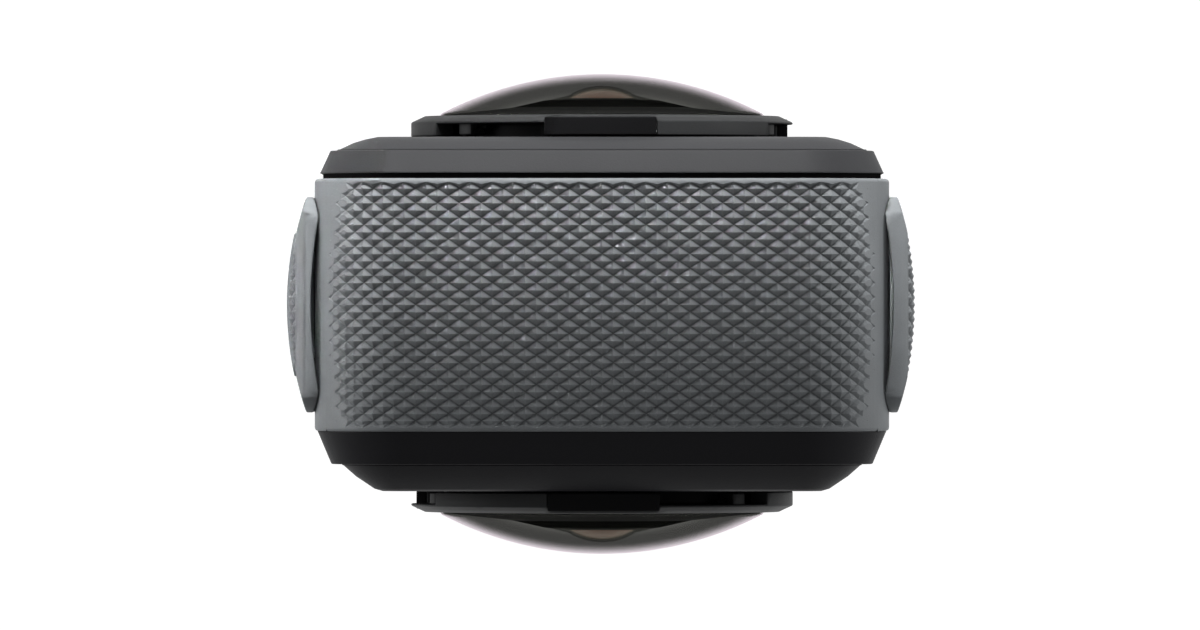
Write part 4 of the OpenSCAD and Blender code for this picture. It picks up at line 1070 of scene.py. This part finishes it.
class TWOLENS_OT_grip_band(Step, Operator):
    """Cuts the band's top and lays the diamond grip into it"""

    bl_idname = "twolens.grip_band"
    bl_label = "Grip band"

    def execute(self, context):
        sizes = context.scene.twolens_grip
        round_r = context.scene.twolens_fits.band_edge
        low_end = band_wrap(np.array([[sizes.reach, 0.0, 0.0]]), sizes)[0, 2]

        def wrap(points):
            s, v, h = points.T
            inset = np.clip(round_r - BAND_HALF + np.abs(v - BAND_MID), 0, round_r)
            drop = round_r - np.sqrt(round_r**2 - inset**2)
            return band_wrap(np.column_stack((s, v, h - drop)), sizes)

        def on_edge(place):
            return place.z < low_end and min(place.y - BAND[0].y, BAND[1].y - place.y) < MERGE

        def run_out(s, v):
            aside = (v - BAND_MID) / BAND_HALF
            side = (sizes.reach - sizes.side_bulge * aside**2 - np.abs(s)) / sizes.side_fade
            edge = (BAND_HALF - sizes.rim - np.abs(v - BAND_MID)) / sizes.fade
            return np.minimum(side, edge)

        wide = sizes.reach - RECESS_INSET
        room = Region((-wide, BAND[0].y - OVERSHOOT), (wide, BAND[1].y + OVERSHOOT))
        deep = sizes.depth + round_r
        cutter = recess("band_recess", room, lambda points: band_wrap(points, sizes), deep)
        dressed("grip_band", round_r, [cutter], on_edge)
        region = Region((-sizes.reach, BAND[0].y), (sizes.reach, BAND[1].y))
        steps = [round_r * (1 - math.cos(a)) for a in np.linspace(0, QUARTER, 5)[1:]]
        region.lines = [BAND[0].y + d for d in steps] + [BAND[1].y - d for d in steps]
        middle = (0.0, BAND_MID)
        body = BODIES["grip_band"]
        knurl_sheet("band_knurl", knurl_graph(), region, middle, sizes.depth, run_out, wrap, sizes, body)
        return {"FINISHED"}


class TWOLENS_OT_side_pads(Step, Operator):
    """Makes the two knurled side pads, the left one being the battery door"""

    bl_idname = "twolens.side_pads"
    bl_label = "Side pads"

    def execute(self, context):
        sizes = context.scene.twolens_grip
        edge = context.scene.twolens_fits.edge
        graph = knurl_graph()
        low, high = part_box("door_latch")
        latch_half = (high.y - low.y) / 2 + HOLE_PLAY
        pocket = (POCKET_Z, (low.y + high.y) / 2, POCKET_HALF, latch_half, POCKET_R)
        buttons = [node_hole("shutter_button", HOLE_PLAY), node_hole("power_button", HOLE_PLAY)]
        hinge_z = frame["joints"][0]["pos_m"][2]
        centre = ((PAD[0].z + PAD[1].z) / 2, PAD_MID)
        for node, side, foot, holes in (
            ("side_pad", 1, PAD[0].z, buttons),
            ("battery_door", -1, hinge_z, [pocket]),
        ):
            region = pad_region(sizes, foot, holes)
            body = BODIES[node]

            def wrap(points, side=side, foot=foot):
                return pad_wrap(points, sizes, side, foot)

            def on_rim(place, region=region):
                outside = region.to_cuts(place.z, place.y) < -PAD_CLEAR
                return outside or abs(place.x) < PAD[1].x - PAD_FACE

            def run_out(s, v, region=region):
                return region.to_cuts(s, v) / sizes.fade

            cutters = [
                recess(node + "_recess", region.inset(RECESS_INSET), wrap, sizes.pad_depth),
                pad_groove(node + "_groove", sizes, side),
            ]
            dressed(node, edge, cutters, on_rim)
            knurl_sheet(
                node + "_knurl", graph, region, centre, sizes.pad_depth, run_out, wrap, sizes, body
            )
            for i, hole in enumerate(holes):
                collar(f"{node}_collar_{i + 1}", hole, wrap, sizes, body)
        return {"FINISHED"}


class TWOLENS_OT_covers(Step, Operator):
    """Softens the edges of the front and rear covers and their seals"""

    bl_idname = "twolens.covers"
    bl_label = "Covers"

    def execute(self, context):
        fits = context.scene.twolens_fits
        for node in ("front_bezel", "front_plate", "rear_bezel", "rear_plate"):
            dressed(node, fits.edge)
        for node in ("rear_seal", "display_glass", "middle_frame"):
            dressed(node, fits.fine_edge)
        return {"FINISHED"}


class TWOLENS_OT_lens_guards(Step, Operator):
    """Softens the guard rings, their inserts and the lens mounts"""

    bl_idname = "twolens.lens_guards"
    bl_label = "Lens guards"

    def execute(self, context):
        fits = context.scene.twolens_fits
        for end in ("front", "rear"):
            dressed(end + "_guard_ring", fits.edge)
            dressed(end + "_grip_inserts", fits.edge)
            dressed(end + "_lens_mount", fits.fine_edge)
        dressed("lens_baffles", 0)
        return {"FINISHED"}


def lens_span(node):
    """Where a node begins and ends along its lens's axis, counted from the middle of the camera."""
    return sorted(abs(corner.y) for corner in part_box(node))


def make_dome(end, side, sizes):
    """A hollow dome with black paint on its back, round the clear middle."""
    node = end + "_dome"
    body = BODIES[node]
    low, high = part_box(node)
    seat, apex = lens_span(node)
    edge = (high.x - low.x) / 2
    rim = seat + sizes.dome_rise
    hollow = apex - sizes.dome_t - sizes.hollow_r
    profile = arc(sizes.dome_r, apex - sizes.dome_r, 0.0, edge - DOME_EDGE, 40)
    profile += [(edge, rim - DOME_EDGE), (edge, seat + DOME_EDGE), (edge - DOME_EDGE, seat)]
    profile += [(sizes.back_r, seat)]
    profile += arc(sizes.hollow_r, hollow, sizes.back_end_r, 0.0, 24)
    complete(lathe(node + "_look", profile, side), "dome_glass", body, node)
    top = hollow + math.sqrt(sizes.hollow_r**2 - sizes.back_end_r**2)
    border = (edge - 2 * PAINT, rim - 2 * DOME_EDGE)
    stop = (sizes.stop_r, seat + sizes.stop_rise)
    share = (sizes.clear_r - sizes.back_end_r) / (sizes.stop_r - sizes.back_end_r)
    window = (sizes.clear_r, top + (stop[1] - top) * share)
    for name, slot, first, last in (
        ("flange", "dark_plastic", border, stop),
        ("stop", "seal_rubber", stop, window),
    ):
        line = [first, last, (last[0], last[1] + PAINT), (first[0], first[1] + PAINT)]
        complete(lathe(f"{node}_{name}", line, side), slot, body)


def make_element(end, side, sizes):
    """The front element of a lens, a shell with a round top."""
    node = end + "_fisheye"
    bottom, tip = lens_span(node)
    outer = sizes.element_r
    inner = outer - sizes.element_wall
    profile = arc(outer, tip - outer, 0.0, outer, 48)
    profile += [(outer, bottom), (inner, bottom)]
    profile += arc(inner, tip - outer, inner, 0.0, 24)
    complete(lathe(node + "_look", profile, side, 96), "lens_glass", BODIES[node], node)


class TWOLENS_OT_glass(Step, Operator):
    """Turns the domes and the front lens elements"""

    bl_idname = "twolens.glass"
    bl_label = "Glass"

    def execute(self, context):
        sizes = context.scene.twolens_lens
        for end, side in (("front", -1), ("rear", 1)):
            make_dome(end, side, sizes)
            make_element(end, side, sizes)
        return {"FINISHED"}


class TWOLENS_OT_controls(Step, Operator):
    """Dishes the shutter button, softens the power button and cuts grip grooves into the latch"""

    bl_idname = "twolens.controls"
    bl_label = "Controls"

    def execute(self, context):
        fits = context.scene.twolens_fits
        low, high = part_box("shutter_button")
        middle = (low + high) / 2
        middle.x = high.x + DISH_R - DISH_DEPTH
        ball = bpy.data.meshes.new("dish")
        with editing(ball) as bm:
            bmesh.ops.create_uvsphere(bm, u_segments=96, v_segments=64, radius=DISH_R)
            bmesh.ops.translate(bm, verts=bm.verts, vec=middle)
        dressed("shutter_button", fits.edge, [linked("dish", ball)])
        dressed("power_button", fits.edge)
        low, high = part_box("door_latch")
        middle = (low.y + high.y) / 2
        ends = (middle - LATCH_RIB_HALF_LENGTH, middle + LATCH_RIB_HALF_LENGTH)
        cutters = []
        for i in range(LATCH_RIBS):
            z = LATCH_RIB_Z + (i - (LATCH_RIBS - 1) / 2) * fits.rib_pitch
            wedge = [
                (low.x - CUT_PAST, z - LATCH_RIB_HALF_WIDTH),
                (low.x + fits.rib_depth, z),
                (low.x - CUT_PAST, z + LATCH_RIB_HALF_WIDTH),
            ]
            cutters.append(prism(f"latch_rib_{i + 1}", wedge, *ends, 1))
        own(dressed("door_latch", fits.fine_edge, cutters), "grip_rubber", BODIES["door_latch"])
        return {"FINISHED"}


def wire_graph():
    """Two layers of straight bars that cross at right angles."""
    graph = group(
        "wires",
        [
            ("Width", "Float"),
            ("Height", "Float"),
            ("Pitch", "Float"),
            ("Wire", "Float"),
            ("Material", "Material"),
        ],
    )
    given = graph.make("NodeGroupInput").outputs
    width, height, pitch, wire = (Value(graph, given[i]) for i in range(4))
    layers = []
    for across, along, depth, x, z in ((width, height, 0.5, 1.0, 0.0), (height, width, -0.5, 0.0, 1.0)):
        first = across * -0.5 + wire * 0.5
        line = graph.make(
            "GeometryNodeMeshLine",
            None,
            {
                "Count": (across - wire) / pitch + 1,
                "Start Location": graph.vector(first * x, wire * depth, first * z),
                "Offset": graph.vector(pitch * x, 0.0, pitch * z),
            },
        )
        size = graph.vector(wire * x + along * z, wire, wire * z + along * x)
        bar = graph.make("GeometryNodeMeshCube", None, {"Size": size})
        inputs = {"Points": line.outputs[0], "Instance": bar.outputs[0]}
        layers.append(graph.make("GeometryNodeInstanceOnPoints", None, inputs).outputs[0])
    close_group(graph, graph.join(*layers), given["Material"])
    return graph


def thread_graph():
    """A ridge swept along a screw line."""
    graph = group(
        "thread",
        [
            ("Radius", "Float"),
            ("Turns", "Float"),
            ("Height", "Float"),
            ("Ridge", "Float"),
            ("Material", "Material"),
        ],
    )
    given = graph.make("NodeGroupInput").outputs
    spiral = graph.make(
        "GeometryNodeCurveSpiral",
        None,
        {
            "Resolution": 48,
            "Rotations": given["Turns"],
            "Start Radius": given["Radius"],
            "End Radius": given["Radius"],
            "Height": given["Height"],
        },
    )
    inputs = {"Resolution": 4, "Radius": given["Ridge"]}
    ridge = graph.make("GeometryNodeCurvePrimitiveCircle", None, inputs)
    swept = graph.make(
        "GeometryNodeCurveToMesh",
        None,
        {"Curve": spiral.outputs[0], "Profile Curve": ridge.outputs[0], "Fill Caps": True},
    )
    close_group(graph, swept.outputs[0], given["Material"])
    return graph


class TWOLENS_OT_speaker(Step, Operator):
    """Weaves the wire mesh behind the speaker slots"""

    bl_idname = "twolens.speaker"
    bl_label = "Speaker mesh"

    def execute(self, context):
        fits = context.scene.twolens_fits
        low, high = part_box("speaker_mesh")
        wires = grown(
            "speaker_mesh_look",
            wire_graph(),
            {
                "Width": high.x - low.x,
                "Height": high.z - low.z,
                "Pitch": fits.wire_pitch,
                "Wire": min(fits.wire, (high.y - low.y) / 2),
                "Material": bpy.data.materials[SLOTS["speaker_mesh"]],
            },
        )
        wires.data.transform(Matrix.Translation((low + high) / 2))
        complete(wires, SLOTS["speaker_mesh"], BODIES["speaker_mesh"], "speaker_mesh")
        return {"FINISHED"}


class TWOLENS_OT_base(Step, Operator):
    """Finishes the base: tray, folding fingers, screws and the threaded tripod socket"""

    bl_idname = "twolens.base"
    bl_label = "Base"

    def execute(self, context):
        fits = context.scene.twolens_fits
        for node in ("base_tray", "left_finger", "right_finger"):
            dressed(node, fits.edge)
        dressed("tripod_insert", fits.fine_edge)
        low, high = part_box("base_screws")
        depths = (low.z - CUT_PAST, low.z + KEY_DEPTH)
        turns = [k * math.pi / 3 for k in range(6)]
        keys = []
        for x in (low.x + SCREW_R, high.x - SCREW_R):
            for y in (low.y + SCREW_R, high.y - SCREW_R):
                key = [(x + KEY_R * math.cos(a), y + KEY_R * math.sin(a)) for a in turns]
                keys.append(prism(f"screw_key_{len(keys) + 1}", key, *depths, 2))
        dressed("base_screws", fits.fine_edge, keys)
        thread = grown(
            "tripod_thread",
            thread_graph(),
            {
                "Radius": THREAD_R,
                "Turns": THREAD_REACH / fits.thread_pitch,
                "Height": THREAD_REACH,
                "Ridge": fits.thread_depth,
                "Material": bpy.data.materials["steel"],
            },
        )
        thread.data.transform(Matrix.Translation(Vector((0, 0, THREAD_START))))
        complete(thread, "steel", "camera_body")
        return {"FINISHED"}


class TWOLENS_OT_stage(Step, Operator):
    """Sets the floor, the lamps, the surroundings and the camera"""

    bl_idname = "twolens.stage"
    bl_label = "Stage"

    def execute(self, context):
        scene = context.scene
        stage = scene.twolens_stage
        scene.view_settings.view_transform = "Standard"
        half = 4.0
        floor = linked(
            "floor",
            mesh_from(
                "floor",
                [(-half, -half, 0), (half, -half, 0), (half, half, 0), (-half, half, 0)],
                [(0, 1, 2, 3)],
            ),
        )
        floor.location.z = -stage.floor_drop
        floor.data.materials.append(floor_paint(stage.glow))
        for name, place, aim, size, power in (
            ("key", (-0.03, 0.3, 0.24), (0.0, 0.026, 0.07), (0.12, 0.014), stage.key),
            ("fill", (0.16, -0.45, 0.03), (0.0, 0.0, 0.04), (0.3, 0.2), stage.fill),
            ("left", (-0.4, 0.08, 0.1), (0.0, 0.0, 0.05), (0.2, 0.2), stage.left),
            ("right", (0.4, 0.08, 0.1), (0.0, 0.0, 0.05), (0.2, 0.2), stage.right),
        ):
            lamp = bpy.data.lights.new(name, "AREA")
            lamp.shape = "RECTANGLE"
            lamp.size, lamp.size_y = size
            lamp.energy = power
            if name == "key":
                lamp.spread = stage.spread
            holder = bpy.data.objects.new(name, lamp)
            scene.collection.objects.link(holder)
            holder.location = place
            holder.rotation_euler = (Vector(aim) - Vector(place)).to_track_quat("-Z", "Y").to_euler()
        scene.world = surroundings(stage.sky)
        optics = bpy.data.cameras.new("camera")
        optics.lens = stage.lens
        camera = bpy.data.objects.new("camera", optics)
        scene.collection.objects.link(camera)
        distance = stage.width * optics.lens / optics.sensor_width
        camera.location = (stage.shift_x, stage.shift_y, stage.height + distance)
        scene.camera = camera
        return {"FINISHED"}


def seen(tree):
    """1 for the camera's own rays and for those it sends on through gloss and glass."""
    path = tree.make("ShaderNodeLightPath").outputs
    kinds = [Value(tree, path[name]) for name in ("Is Camera Ray", "Is Glossy Ray", "Is Transmission Ray")]
    return tree.math("MINIMUM", kinds[0] + kinds[1] + kinds[2], 1.0)


def floor_paint(glow):
    """A plain white floor that keeps the object's shadow."""
    f = Finish("floor")
    matt = f.make("ShaderNodeBsdfDiffuse", None, {"Color": solid((0.3, 0.3, 0.3))}).outputs[0]
    white = f.make("ShaderNodeEmission", None, {"Strength": glow}).outputs[0]
    bright = f.make("ShaderNodeAddShader", None, {0: matt, 1: white}).outputs[0]
    return f.close(f.blend(seen(f), matt, bright))


def surroundings(strength):
    """Even pale light from all round, seen as white by the camera and in gloss and glass."""
    world = bpy.data.worlds.new("surroundings")
    world.use_nodes = True
    tree = Tree(world.node_tree)
    tree.tree.nodes.clear()
    even = tree.make("ShaderNodeBackground", None, {"Strength": strength}).outputs[0]
    white = tree.make("ShaderNodeBackground", None, {"Strength": 1.0}).outputs[0]
    for node in tree.tree.nodes:
        node.inputs["Color"].default_value = (1.0, 1.0, 1.0, 1.0)
    both = tree.make("ShaderNodeMixShader", None, {0: seen(tree), 1: even, 2: white}).outputs[0]
    tree.make("ShaderNodeOutputWorld", None, {"Surface": both})
    return world


class TWOLENS_PT_panel(Panel):
    """Sizes, colours and steps of the camera"""

    bl_idname = "TWOLENS_PT_panel"
    bl_label = "Two-lens camera"
    bl_space_type = "VIEW_3D"
    bl_region_type = "UI"
    bl_category = "Camera"

    def draw(self, context):
        for name, group_class in GROUPS.items():
            box = self.layout.box()
            box.label(text=group_class.__doc__)
            settings = getattr(context.scene, name)
            for field in group_class.__annotations__:
                box.prop(settings, field)
        for step in STEPS:
            self.layout.operator(step.bl_idname)


GROUPS = {
    "twolens_grip": GripSizes,
    "twolens_lens": LensSizes,
    "twolens_fits": FitSizes,
    "twolens_colours": FinishColours,
    "twolens_stage": StageSettings,
}
STEPS = (
    TWOLENS_OT_finishes,
    TWOLENS_OT_grip_band,
    TWOLENS_OT_side_pads,
    TWOLENS_OT_covers,
    TWOLENS_OT_lens_guards,
    TWOLENS_OT_glass,
    TWOLENS_OT_controls,
    TWOLENS_OT_speaker,
    TWOLENS_OT_base,
    TWOLENS_OT_stage,
)


def register():
    """Registers the classes and hangs the settings on the scene."""
    for kind in (*GROUPS.values(), *STEPS, TWOLENS_PT_panel):
        bpy.utils.register_class(kind)
    for name, kind in GROUPS.items():
        setattr(bpy.types.Scene, name, PointerProperty(type=kind))


def unregister():
    """Takes the settings off the scene and unregisters the classes."""
    for name in GROUPS:
        delattr(bpy.types.Scene, name)
    for kind in (TWOLENS_PT_panel, *reversed(STEPS), *reversed(GROUPS.values())):
        bpy.utils.unregister_class(kind)


def main():
    """Registers the classes and runs every step in order."""
    register()
    bpy.ops.twolens.finishes()
    bpy.ops.twolens.grip_band()
    bpy.ops.twolens.side_pads()
    bpy.ops.twolens.covers()
    bpy.ops.twolens.lens_guards()
    bpy.ops.twolens.glass()
    bpy.ops.twolens.controls()
    bpy.ops.twolens.speaker()
    bpy.ops.twolens.base()
    bpy.ops.twolens.stage()


if __name__ == "__main__":
    main()
